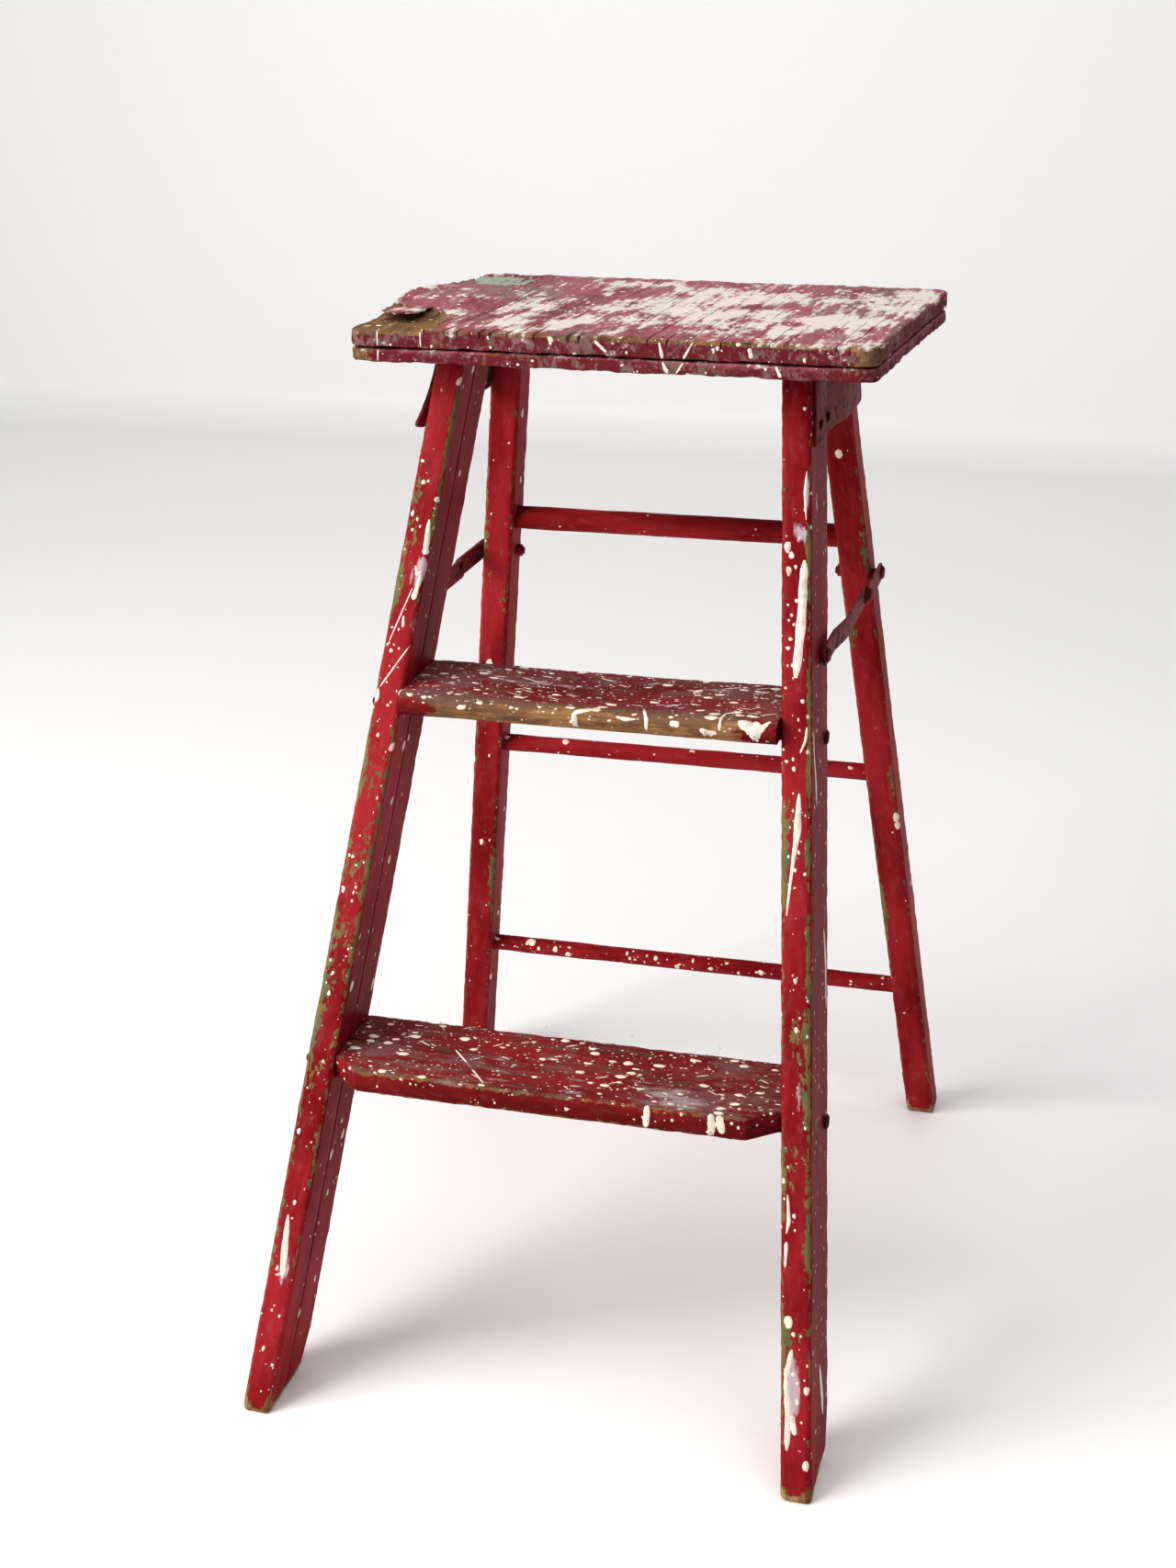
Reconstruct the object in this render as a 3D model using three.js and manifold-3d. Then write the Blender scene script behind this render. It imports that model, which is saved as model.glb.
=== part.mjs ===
// A two-step wooden step ladder with a flat top, standing open on the floor.
// Millimetres, +Z up, +X to the ladder's right as it is climbed, +Y towards its back.
// The origin is on the floor, midway between the outermost feet.
import * as THREE from 'three';
import { mergeVertices } from 'three/addons/utils/BufferGeometryUtils.js';
import Module from 'manifold-3d';

const wasm = await Module();
wasm.setup();

// ---- Driving dimensions ----
const LADDER_HEIGHT = 870;
const FIT = 0.3; // gap kept between pieces that touch
const PAST = 10; // how far a cutting solid runs past the piece that it cuts
const INSIDE = 100; // a cut through one side of the ladder runs from here, measured from the middle,
const OUTSIDE = 260; // to here
const SIDES = [['left', -1], ['right', 1]]; // each side's word and the sign of its x

// Front frame: two raked, splayed stiles. Slopes are run per unit of height.
const STILE = {
  halfFoot: 245, splay: 0.1, footFront: 0, rake: 0.42,
  thick: 25, depth: 85, chamfer: 3, foot: 0, top: 841.7,
};

// Rear frame: two legs that lean the other way.
const LEG = {
  halfFoot: 265, splay: 0.123, footFront: 660, rake: -0.175,
  thick: 28.5, depth: 37.5, chamfer: 3, foot: 0, top: 828,
};
const BASE_MIDDLE = (LEG.footFront + LEG.depth) / 2; // y of the origin, from the front feet

const STEPS = [
  { name: 'step_lower', top: 284.5, thick: 21, nose: 18, noseClip: 24, clipEnd: 0, noseRound: 3, setback: 3 },
  { name: 'step_upper', top: 577.5, thick: 20, nose: 18, noseClip: 7, clipEnd: 7, noseRound: 9, setback: 3 },
];
const HOUSING_DEPTH = 8; // how far a step runs into each stile
const HOUSING_SHOULDER = 2; // wood left in front of the housing
const SHOULDER_GAP = 0.6; // between a step's shoulder and the stile's inner face

const BOARD = { width: 442, depth: 338, cornerRadius: 15, front: 300, offsetX: 8, turn: -2 };
const BOARD_LAYERS = [
  { name: 'top_board_lower', low: 842, high: 853 },
  { name: 'top_board_upper', low: 854.5, high: LADDER_HEIGHT },
];

const RUNGS = [
  { name: 'rung_lower', z: 151, radius: 8.5 },
  { name: 'rung_middle', z: 400.5, radius: 8.5 },
  { name: 'rung_upper', z: 649.5, radius: 11 },
];
const RUNG_TENON = 12;

const TIE_ROD = {
  radius: 3.2, belowStep: 10, fromBack: 30, stub: 13, headRadius: 6.5, headHeight: 2.6,
};
const WASHER = { radius: 8, thick: 1.6 };
const NUT = { acrossCorners: 12.5, thick: 4.5 };

const HINGE = { z: 808, boltRadius: 4, headRadius: 7.5, headHeight: 4, boltPastNut: 2.5 };
const PLATE = {
  low: 780, high: 840, thick: 2.5, frontSetback: 9, behindPivot: 15,
  joggleStart: 8, joggleRun: 26, joggle: 5.5, cornerRadius: 8,
};
const PLATE_SCREWS = [[30, 794], [66, 794], [58, 826]]; // distance behind the stile's front, height

const LINK = {
  z: 614, width: 18, thick: 2.4, frontPivot: 305, rearPivot: 574, middlePivot: 495,
  frontFace: 186.6, rearFace: 191.3, layerGap: 0.3, joggleFrom: 348, joggleTo: 384,
};
const LINK_BOLT = { radius: 3.5, headRadius: 6.5, headHeight: 3.2, tailHeight: 2, grip: 17, pastNut: 2 };
const SHANK_IN_HEAD = 0.5; // how far a shank runs into its domed head
const SCREW = { radius: 2.2, headRadius: 4.5, headHeight: 1.8, length: 16, pastPlate: 1 };
const BOARD_SCREW = {
  radius: 2.2, headRadius: 4.6, headDepth: 3, length: 46, sink: 0.4, shankDrop: 1, backs: [20, 62],
};
const ROUND = 20; // sides on a round bar
const SMALL_ROUND = 16; // sides on a fastener
const HEX = 6; // sides on a nut
const CURVE_STEPS = 6; // straight pieces in a rounded corner

// ---- Materials ----
const finish = (color, roughness, metalness) =>
  new THREE.MeshStandardMaterial({ color, roughness, metalness });
const redWood = () => finish(0xa3262c, 0.55, 0);
const stepWood = () => finish(0x8e3138, 0.6, 0);
const topWood = () => finish(0x9a6a70, 0.7, 0);
const redSteel = () => finish(0x6d2328, 0.5, 0.3);
const darkSteel = () => finish(0x3a2a28, 0.6, 0.7);

const ladder = new THREE.Group();

// ---- Geometry helpers ----
function solidOf(geometry) {
  const bare = geometry.clone();
  bare.deleteAttribute('normal');
  bare.deleteAttribute('uv');
  const merged = mergeVertices(bare, 1e-4);
  return new wasm.Manifold(new wasm.Mesh({
    numProp: 3,
    vertProperties: new Float32Array(merged.attributes.position.array),
    triVerts: new Uint32Array(merged.index.array),
  }));
}

function geometryOf(solid) {
  const mesh = solid.getMesh();
  const geometry = new THREE.BufferGeometry();
  geometry.setAttribute('position', new THREE.BufferAttribute(mesh.vertProperties, 3));
  geometry.setIndex(new THREE.BufferAttribute(mesh.triVerts, 1));
  geometry.computeVertexNormals();
  return geometry;
}

function add(name, solid, material) {
  const mesh = new THREE.Mesh(geometryOf(solid), material);
  mesh.name = name;
  ladder.add(mesh);
}

// A shape through the given corners, each corner rounded by its own radius (0 leaves it sharp).
function roundedShape(corners, radii) {
  const shape = new THREE.Shape();
  corners.forEach((corner, i) => {
    const here = new THREE.Vector2(...corner);
    const before = new THREE.Vector2(...corners.at(i - 1)).sub(here);
    const after = new THREE.Vector2(...corners[(i + 1) % corners.length]).sub(here);
    const reach = radii[i];
    const start = here.clone().add(before.setLength(reach));
    const end = here.clone().add(after.setLength(reach));
    if (i === 0) shape.moveTo(start.x, start.y);
    else shape.lineTo(start.x, start.y);
    if (reach > 0) shape.quadraticCurveTo(here.x, here.y, end.x, end.y);
  });
  shape.closePath();
  return shape;
}

function chamferedRectangle(x0, x1, y0, y1, cut) {
  const points = [
    [x0 + cut, y0], [x1 - cut, y0], [x1, y0 + cut], [x1, y1 - cut],
    [x1 - cut, y1], [x0 + cut, y1], [x0, y1 - cut], [x0, y0 + cut],
  ];
  return new THREE.Shape(points.map(([x, y]) => new THREE.Vector2(x, y)));
}

// A plan outline raised from one height to another.
function raised(shape, low, high) {
  const geometry = new THREE.ExtrudeGeometry(shape, {
    depth: high - low, bevelEnabled: false, curveSegments: CURVE_STEPS,
  });
  return geometry.translate(0, 0, low);
}

// A side outline, drawn as (y, z), swept along X from one face to the other.
function swept(shape, fromX, toX) {
  const geometry = new THREE.ExtrudeGeometry(shape, {
    depth: Math.abs(toX - fromX), bevelEnabled: false, curveSegments: CURVE_STEPS,
  });
  const axes = new THREE.Matrix4().set(
    0, 0, 1, Math.min(fromX, toX),
    1, 0, 0, 0,
    0, 1, 0, 0,
    0, 0, 0, 1,
  );
  return geometry.applyMatrix4(axes);
}

// A round bar along X.
function barAlongX(fromX, toX, y, z, radius, sides = SMALL_ROUND) {
  const geometry = new THREE.CylinderGeometry(radius, radius, Math.abs(toX - fromX), sides);
  geometry.rotateZ(Math.PI / 2);
  return geometry.translate((fromX + toX) / 2, y, z);
}

// A low domed head along X: its flat side at seat, its crown pointing to the given side.
function domeAlongX(side, seat, y, z, radius, height) {
  const profile = [
    new THREE.Vector2(0, 0), new THREE.Vector2(radius, 0),
    new THREE.Vector2(radius * 0.97, height * 0.4), new THREE.Vector2(radius * 0.72, height * 0.85),
    new THREE.Vector2(0, height),
  ];
  const geometry = new THREE.LatheGeometry(profile, SMALL_ROUND);
  geometry.rotateZ(-side * Math.PI / 2);
  return geometry.translate(seat, y, z);
}

// Shifts a shape built over the floor so that it leans with a post.
function lean(geometry, side, post) {
  const shear = new THREE.Matrix4().set(
    1, 0, -side * post.splay, 0,
    0, 1, post.rake, 0,
    0, 0, 1, 0,
    0, 0, 0, 1,
  );
  return geometry.applyMatrix4(shear);
}

const outerFace = (post, z) => post.halfFoot - post.splay * z;
const innerFace = (post, z) => outerFace(post, z) - post.thick;
const frontFace = (post, z) => post.footFront + post.rake * z - BASE_MIDDLE;
const rearFace = (post, z) => frontFace(post, z) + post.depth;
const fromFrontFeet = (y) => y - BASE_MIDDLE;

const hingeY = frontFace(LEG, HINGE.z) + LEG.depth / 2;

// ---- Front frame ----
function post(side, spec) {
  const xs = [side * (spec.halfFoot - spec.thick), side * spec.halfFoot].sort((a, b) => a - b);
  const y = spec.footFront - BASE_MIDDLE;
  const outline = chamferedRectangle(xs[0], xs[1], y, y + spec.depth, spec.chamfer);
  return solidOf(lean(raised(outline, spec.foot, spec.top), side, spec));
}

// A step's plan outline: housed ends, and a nose that stands in front of the stiles.
function stepSolid(spec, grow = 0) {
  const low = spec.top - spec.thick - grow;
  const high = spec.top + grow;
  const shoulder = innerFace(STILE, spec.top) - SHOULDER_GAP;
  const end = innerFace(STILE, spec.top - spec.thick / 2) + HOUSING_DEPTH + grow;
  const nose = frontFace(STILE, spec.top) - spec.nose;
  const face = frontFace(STILE, spec.top);
  const housing = face + HOUSING_SHOULDER - grow;
  const back = rearFace(STILE, spec.top) - spec.setback + grow;
  const half = [
    [shoulder - spec.noseClip, nose], [shoulder, face - spec.clipEnd],
    [shoulder, housing], [end, housing], [end, back],
  ];
  const plan = new THREE.Shape([...half, ...half.map(([x, y]) => [-x, y]).reverse()]
    .map(([x, y]) => new THREE.Vector2(x, y)));
  const round = spec.noseRound;
  const section = roundedShape(
    [[nose, low], [back + PAST, low], [back + PAST, high], [nose, high]], [round, 0, 0, round]);
  return solidOf(raised(plan, low, high)).intersect(solidOf(swept(section, -end - PAST, end + PAST)));
}

function rodPlace(step) {
  return {
    y: rearFace(STILE, step.top) - TIE_ROD.fromBack,
    z: step.top - step.thick - TIE_ROD.belowStep - TIE_ROD.radius,
  };
}

const plateX = (z) => outerFace(STILE, z) + FIT;

function boardScrewPlaces(side) {
  const x = side * (outerFace(STILE, STILE.top) - STILE.thick / 2);
  return BOARD_SCREW.backs.map((back) => ({ x, y: frontFace(STILE, STILE.top) + back }));
}

function uprightScrew(place, high, grow = 0) {
  const head = new THREE.CylinderGeometry(
    BOARD_SCREW.headRadius + grow, BOARD_SCREW.radius + grow, BOARD_SCREW.headDepth + grow, SMALL_ROUND);
  head.rotateX(Math.PI / 2).translate(place.x, place.y, high - BOARD_SCREW.headDepth / 2 + grow / 2);
  const shank = new THREE.CylinderGeometry(
    BOARD_SCREW.radius + grow, BOARD_SCREW.radius + grow, BOARD_SCREW.length + grow, SMALL_ROUND);
  shank.rotateX(Math.PI / 2).translate(
    place.x, place.y, high - BOARD_SCREW.shankDrop - BOARD_SCREW.length / 2);
  return solidOf(head).add(solidOf(shank));
}
const screwHigh = LADDER_HEIGHT - BOARD_SCREW.sink; // heads lie just under the board's face

// A round cutter or bar through everything on one side of the ladder.
const throughSide = (side, y, z, radius) =>
  solidOf(barAlongX(side * INSIDE, side * OUTSIDE, y, z, radius));

function plateScrewBar(side, [back, z], grow = 0) {
  const y = frontFace(STILE, z) + back;
  const outside = side * (plateX(z) + PLATE.thick + SCREW.pastPlate);
  return solidOf(barAlongX(outside - side * SCREW.length, outside, y, z, SCREW.radius + grow));
}

for (const [word, side] of SIDES) {
  let stile = post(side, STILE);
  for (const step of STEPS) {
    const rod = rodPlace(step);
    stile = stile.subtract(stepSolid(step, FIT));
    stile = stile.subtract(solidOf(barAlongX(
      side * (innerFace(STILE, rod.z) - PAST), side * (outerFace(STILE, rod.z) + PAST),
      rod.y, rod.z, TIE_ROD.radius + FIT)));
  }
  for (const place of boardScrewPlaces(side)) stile = stile.subtract(uprightScrew(place, screwHigh, FIT));
  for (const screw of PLATE_SCREWS) stile = stile.subtract(plateScrewBar(side, screw, FIT));
  const spreader = outerFace(STILE, LINK.z);
  stile = stile.subtract(solidOf(barAlongX(
    side * (spreader - LINK_BOLT.grip - FIT), side * (spreader + PAST),
    fromFrontFeet(LINK.frontPivot), LINK.z, LINK_BOLT.radius + FIT)));
  add(`stile_${word}`, stile, redWood());
}

for (const step of STEPS) add(step.name, stepSolid(step), stepWood());

// Each rod ties the stiles together under a step: a domed head on the right, a washer and nut on the left.
for (const step of STEPS) {
  const { y, z } = rodPlace(step);
  const label = step.name.replace('step_', '');
  const headSeat = outerFace(STILE, z - TIE_ROD.headRadius) + FIT;
  const washerSeat = outerFace(STILE, z - WASHER.radius) + FIT;
  const nutSeat = washerSeat + WASHER.thick + FIT;
  const nutEnd = nutSeat + NUT.thick;
  const rod = solidOf(barAlongX(-(nutEnd + TIE_ROD.stub), headSeat + SHANK_IN_HEAD, y, z, TIE_ROD.radius));
  const head = solidOf(domeAlongX(1, headSeat, y, z, TIE_ROD.headRadius, TIE_ROD.headHeight));
  add(`tie_rod_${label}`, rod.add(head), darkSteel());
  const bore = throughSide(-1, y, z, TIE_ROD.radius + FIT);
  const washer = solidOf(barAlongX(
    -washerSeat, -(washerSeat + WASHER.thick), y, z, WASHER.radius, ROUND));
  add(`rod_washer_${label}`, washer.subtract(bore), darkSteel());
  const nut = solidOf(barAlongX(-nutSeat, -nutEnd, y, z, NUT.acrossCorners / 2, HEX));
  add(`rod_nut_${label}`, nut.subtract(bore), darkSteel());
}

// ---- Top ----
const boardMiddle = new THREE.Vector2(BOARD.offsetX, fromFrontFeet(BOARD.front + BOARD.depth / 2));
for (const layer of BOARD_LAYERS) {
  const [x, y, r] = [BOARD.width / 2, BOARD.depth / 2, BOARD.cornerRadius];
  const outline = roundedShape([[-x, -y], [x, -y], [x, y], [-x, y]], [r, r, r, r]);
  const slab = raised(outline, layer.low, layer.high);
  slab.rotateZ(THREE.MathUtils.degToRad(BOARD.turn)).translate(boardMiddle.x, boardMiddle.y, 0);
  let board = solidOf(slab);
  for (const [, side] of SIDES) {
    for (const place of boardScrewPlaces(side)) board = board.subtract(uprightScrew(place, screwHigh, FIT));
  }
  add(layer.name, board, topWood());
}
for (const [word, side] of SIDES) {
  boardScrewPlaces(side).forEach((place, i) => {
    add(`board_screw_${word}_${i + 1}`, uprightScrew(place, screwHigh), darkSteel());
  });
}

// ---- Hinge plates, bent outwards behind the stile so that the rear leg swings inside them ----
function bentStrip(side, inner, thick, bendFrom, bendTo, out, from, to) {
  const line = [[inner, from], [inner, bendFrom], [inner + out, bendTo], [inner + out, to]];
  const outline = [...line, ...line.map(([x, y]) => [x + thick, y]).reverse()];
  return new THREE.Shape(outline.map(([x, y]) => new THREE.Vector2(side * x, y)));
}

for (const [word, side] of SIDES) {
  const middle = (PLATE.low + PLATE.high) / 2;
  const rearOfStile = rearFace(STILE, middle) + PLATE.joggleStart;
  const strip = bentStrip(side, plateX(0), PLATE.thick, rearOfStile, rearOfStile + PLATE.joggleRun,
    PLATE.joggle, frontFace(STILE, PLATE.low) - PAST, hingeY + PLATE.behindPivot + PAST);
  const upright = { splay: STILE.splay, rake: 0 };
  let plate = solidOf(lean(raised(strip, PLATE.low - PAST, PLATE.high + PAST), side, upright));
  const r = PLATE.cornerRadius;
  const outline = roundedShape([
    [frontFace(STILE, PLATE.low) + PLATE.frontSetback, PLATE.low],
    [hingeY + PLATE.behindPivot, PLATE.low], [hingeY + PLATE.behindPivot, PLATE.high],
    [frontFace(STILE, PLATE.high) + PLATE.frontSetback, PLATE.high],
  ], [r, r, r, r]);
  plate = plate.intersect(solidOf(swept(outline, side * INSIDE, side * OUTSIDE)));
  const outside = plateX(HINGE.z) + PLATE.joggle + PLATE.thick + HINGE.headRadius * STILE.splay + FIT;
  const inside = innerFace(LEG, HINGE.z) - HINGE.headRadius * LEG.splay - FIT;
  plate = plate.subtract(throughSide(side, hingeY, HINGE.z, HINGE.boltRadius + FIT));
  for (const screw of PLATE_SCREWS) plate = plate.subtract(plateScrewBar(side, screw, FIT));
  add(`hinge_plate_${word}`, plate, redSteel());

  PLATE_SCREWS.forEach((screw, i) => {
    const [back, z] = screw;
    const seat = plateX(z) + PLATE.thick + SCREW.headRadius * STILE.splay + FIT;
    const head = domeAlongX(
      side, side * seat, frontFace(STILE, z) + back, z, SCREW.headRadius, SCREW.headHeight);
    add(`plate_screw_${word}_${i + 1}`, plateScrewBar(side, screw).add(solidOf(head)), redSteel());
  });

  const shank = barAlongX(side * (inside - NUT.thick - HINGE.boltPastNut),
    side * (outside + SHANK_IN_HEAD), hingeY, HINGE.z, HINGE.boltRadius);
  const head = domeAlongX(side, side * outside, hingeY, HINGE.z, HINGE.headRadius, HINGE.headHeight);
  add(`hinge_bolt_${word}`, solidOf(shank).add(solidOf(head)), darkSteel());
  const nut = solidOf(barAlongX(
    side * (inside - NUT.thick), side * inside, hingeY, HINGE.z, HINGE.headRadius, HEX));
  const bore = throughSide(side, hingeY, HINGE.z, HINGE.boltRadius + FIT);
  add(`hinge_nut_${word}`, nut.subtract(bore), darkSteel());
}

// ---- Rear frame ----
const rungY = (rung) => frontFace(LEG, rung.z) + LEG.depth / 2;
function rungSolid(rung, grow = 0) {
  const end = innerFace(LEG, rung.z) + RUNG_TENON + grow;
  return solidOf(barAlongX(-end, end, rungY(rung), rung.z, rung.radius + grow, ROUND));
}

for (const [word, side] of SIDES) {
  let leg = post(side, LEG);
  for (const rung of RUNGS) leg = leg.subtract(rungSolid(rung, FIT));
  leg = leg.subtract(throughSide(side, hingeY, HINGE.z, HINGE.boltRadius + FIT));
  leg = leg.subtract(
    throughSide(side, fromFrontFeet(LINK.rearPivot), LINK.z, LINK_BOLT.radius + FIT));
  add(`rear_leg_${word}`, leg, redWood());
}
for (const rung of RUNGS) add(rung.name, rungSolid(rung), redWood());

// ---- Spreaders: two flat links a side, lapped at the middle pivot ----
// The middle rivet is in two halves that meet face to face, one on each link.
function stadium(fromY, toY) {
  const radius = LINK.width / 2;
  const shape = new THREE.Shape();
  shape.absarc(toY, LINK.z, radius, -Math.PI / 2, Math.PI / 2, false);
  shape.absarc(fromY, LINK.z, radius, Math.PI / 2, Math.PI * 1.5, false);
  return shape;
}
const frontPivot = fromFrontFeet(LINK.frontPivot);
const middlePivot = fromFrontFeet(LINK.middlePivot);
const rearPivot = fromFrontFeet(LINK.rearPivot);
const outerLayer = LINK.rearFace + LINK.thick + LINK.layerGap;

for (const [word, side] of SIDES) {
  const strip = bentStrip(side, LINK.frontFace, LINK.thick, fromFrontFeet(LINK.joggleFrom),
    fromFrontFeet(LINK.joggleTo), LINK.rearFace - LINK.frontFace,
    frontPivot - LINK.width, middlePivot + LINK.width);
  const holeAt = (y) => throughSide(side, y, LINK.z, LINK_BOLT.radius + FIT);
  const front = solidOf(raised(strip, LINK.z - LINK.width, LINK.z + LINK.width))
    .intersect(solidOf(swept(stadium(frontPivot, middlePivot), side * INSIDE, side * OUTSIDE)))
    .subtract(holeAt(frontPivot)).subtract(holeAt(middlePivot));
  add(`spreader_front_link_${word}`, front, redSteel());

  const rear = solidOf(swept(
    stadium(middlePivot, rearPivot), side * outerLayer, side * (outerLayer + LINK.thick)))
    .subtract(holeAt(middlePivot)).subtract(holeAt(rearPivot));
  add(`spreader_rear_link_${word}`, rear, redSteel());

  const bolt = (shankFrom, seat, y) => solidOf(
    barAlongX(side * shankFrom, side * (seat + SHANK_IN_HEAD), y, LINK.z, LINK_BOLT.radius))
    .add(solidOf(domeAlongX(side, side * seat, y, LINK.z, LINK_BOLT.headRadius, LINK_BOLT.headHeight)));
  const frontSeat = LINK.frontFace + LINK.thick + FIT;
  const frontEnd = outerFace(STILE, LINK.z) - LINK_BOLT.grip;
  add(`spreader_front_bolt_${word}`, bolt(frontEnd, frontSeat, frontPivot), redSteel());
  const collarInner = outerFace(STILE, LINK.z - LINK_BOLT.headRadius) + FIT;
  const collar = solidOf(barAlongX(
    side * collarInner, side * (LINK.frontFace - FIT), frontPivot, LINK.z, LINK_BOLT.headRadius));
  add(`spreader_collar_${word}`, collar.subtract(holeAt(frontPivot)), redSteel());

  const rearSeat = outerLayer + LINK.thick + FIT;
  const nutFace = innerFace(LEG, LINK.z + NUT.acrossCorners / 2) - FIT;
  const rearEnd = nutFace - NUT.thick - LINK_BOLT.pastNut;
  add(`spreader_rear_bolt_${word}`, bolt(rearEnd, rearSeat, rearPivot), redSteel());
  const nut = solidOf(barAlongX(
    side * (nutFace - NUT.thick), side * nutFace, rearPivot, LINK.z, NUT.acrossCorners / 2, HEX));
  add(`spreader_rear_nut_${word}`, nut.subtract(holeAt(rearPivot)), darkSteel());

  const split = outerLayer - LINK.layerGap / 2;
  add(`spreader_rivet_head_${word}`, bolt(split + LINK.layerGap / 2, rearSeat, middlePivot), redSteel());
  const tailSeat = LINK.rearFace - FIT;
  const tail = solidOf(barAlongX(
    side * (split - LINK.layerGap / 2), side * (tailSeat - SHANK_IN_HEAD),
    middlePivot, LINK.z, LINK_BOLT.radius))
    .add(solidOf(domeAlongX(
      -side, side * tailSeat, middlePivot, LINK.z, LINK_BOLT.headRadius, LINK_BOLT.tailHeight)));
  add(`spreader_rivet_tail_${word}`, tail, redSteel());
}

export default ladder;
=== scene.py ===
"""Dresses the step ladder: worn red paint on old wood, a cracked top, rusty steel and spilt cream paint.

Everything is in metres in the row frame: +Z up, +X to the right of a person climbing, +Y to the back.
"""

import logging
import math
import random
from collections.abc import Callable, Sequence
from dataclasses import dataclass, field
from enum import Enum

import bmesh
import bpy
import numpy as np
from mathutils import Matrix, Vector
from mathutils.bvhtree import BVHTree


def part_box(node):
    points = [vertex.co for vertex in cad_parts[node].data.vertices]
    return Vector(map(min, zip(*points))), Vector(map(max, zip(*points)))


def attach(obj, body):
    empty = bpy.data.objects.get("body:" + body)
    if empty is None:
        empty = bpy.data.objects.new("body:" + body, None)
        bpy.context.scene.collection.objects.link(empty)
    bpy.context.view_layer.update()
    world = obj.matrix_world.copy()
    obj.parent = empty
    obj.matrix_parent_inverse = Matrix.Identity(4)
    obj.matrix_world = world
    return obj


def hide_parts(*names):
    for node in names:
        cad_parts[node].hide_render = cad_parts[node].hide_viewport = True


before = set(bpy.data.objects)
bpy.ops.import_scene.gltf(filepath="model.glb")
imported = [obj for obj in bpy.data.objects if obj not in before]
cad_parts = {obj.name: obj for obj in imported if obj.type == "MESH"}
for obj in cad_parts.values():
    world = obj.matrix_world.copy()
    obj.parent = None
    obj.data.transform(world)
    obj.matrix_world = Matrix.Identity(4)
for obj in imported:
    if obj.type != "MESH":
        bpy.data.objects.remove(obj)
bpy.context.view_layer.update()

MM = 0.001
EDGE_REACH = 9 * MM
SEED = 41
FRONT, REAR = "front_frame", "rear_frame"
log = logging.getLogger("ladder")
Colour = tuple[float, float, float, float]


def colour(code: int) -> Colour:
    """A screen colour, written as 0xRRGGBB, in the linear values that the shaders take.

    Args:
        code: the colour's red, green and blue, a byte each.
    Returns:
        The linear red, green and blue, with an alpha of one.
    """
    shares = [(code >> shift & 255) / 255 for shift in (16, 8, 0)]
    linear = [s / 12.92 if s <= 0.04045 else ((s + 0.055) / 1.055) ** 2.4 for s in shares]
    return (*linear, 1.0)


class Side(Enum):
    """The ladder's two sides, by the sign of their x."""

    LEFT = -1
    RIGHT = 1

    @property
    def word(self) -> str:
        """The side's name, as it stands in the names of pieces."""
        return self.name.lower()


class Fibre(Enum):
    """The axis that a board's grain runs along."""

    X = 0
    Y = 1
    Z = 2


# ---- The bench: shaping a piece by hand ----
def take(piece: bpy.types.Object) -> None:
    """Deselects everything else and makes the piece the active one.

    Args:
        piece: the piece.
    """
    bpy.ops.object.select_all(action="DESELECT")
    piece.select_set(True)
    bpy.context.view_layer.objects.active = piece


class Bench:
    """Holds one piece in edit mode while its edges and faces are picked and worked."""

    def __init__(self, piece: bpy.types.Object) -> None:
        """Takes the piece that is to be worked on."""
        self.piece = piece

    def __enter__(self) -> "Bench":
        """Takes the piece into edit mode with nothing picked.

        Returns:
            The bench.
        """
        take(self.piece)
        bpy.ops.object.mode_set(mode="EDIT")
        bpy.ops.mesh.select_mode(type="EDGE")
        bpy.ops.mesh.select_all(action="DESELECT")
        return self

    def __exit__(self, *problem: object) -> None:
        """Goes back to object mode."""
        bpy.ops.object.mode_set(mode="OBJECT")

    def pick(self, kind: str, wanted: Callable[[bmesh.types.BMesh], list]) -> None:
        """Picks some edges or faces and nothing else.

        Args:
            kind: what is picked, EDGE or FACE.
            wanted: finds them in the mesh.
        """
        bpy.ops.mesh.select_mode(type=kind)
        bpy.ops.mesh.select_all(action="DESELECT")
        mesh = bmesh.from_edit_mesh(self.piece.data)
        for found in wanted(mesh):
            found.select_set(True)
        bmesh.update_edit_mesh(self.piece.data)

    def edges(self, test: Callable[[Vector, Vector], bool]) -> None:
        """Picks the edges whose middle and run pass a test."""
        self.pick("EDGE", lambda mesh: [
            edge for edge in mesh.edges
            if test((edge.verts[0].co + edge.verts[1].co) / 2, edge.verts[1].co - edge.verts[0].co)])

    def faces(self, test: Callable[[Vector, Vector], bool]) -> None:
        """Picks the faces whose centre and normal pass a test."""
        self.pick("FACE", lambda mesh: [
            face for face in mesh.faces if test(face.calc_center_median(), face.normal)])

    def slice(self, axis: Fibre, crossings: Sequence[float]) -> None:
        """Cuts the whole piece across an axis at each crossing, which leaves it in one piece."""
        normal = Vector([float(axis.value == k) for k in range(3)])
        for crossing in crossings:
            self.score(normal * crossing, normal)

    def score(self, point: Vector, normal: Vector) -> None:
        """Cuts the whole piece along one leaning plane, which leaves it in one piece.

        Args:
            point: a point on the plane.
            normal: the plane's normal.
        """
        bpy.ops.mesh.select_all(action="SELECT")
        bpy.ops.mesh.bisect(plane_co=point, plane_no=normal)

    def trim(self, point: Vector, outwards: Vector) -> None:
        """Saws off what lies beyond a plane and closes the cut.

        Args:
            point: a point on the plane.
            outwards: the plane's normal, towards the waste.
        """
        bpy.ops.mesh.select_all(action="SELECT")
        bpy.ops.mesh.bisect(plane_co=point, plane_no=outwards, use_fill=True, clear_outer=True)


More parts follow.
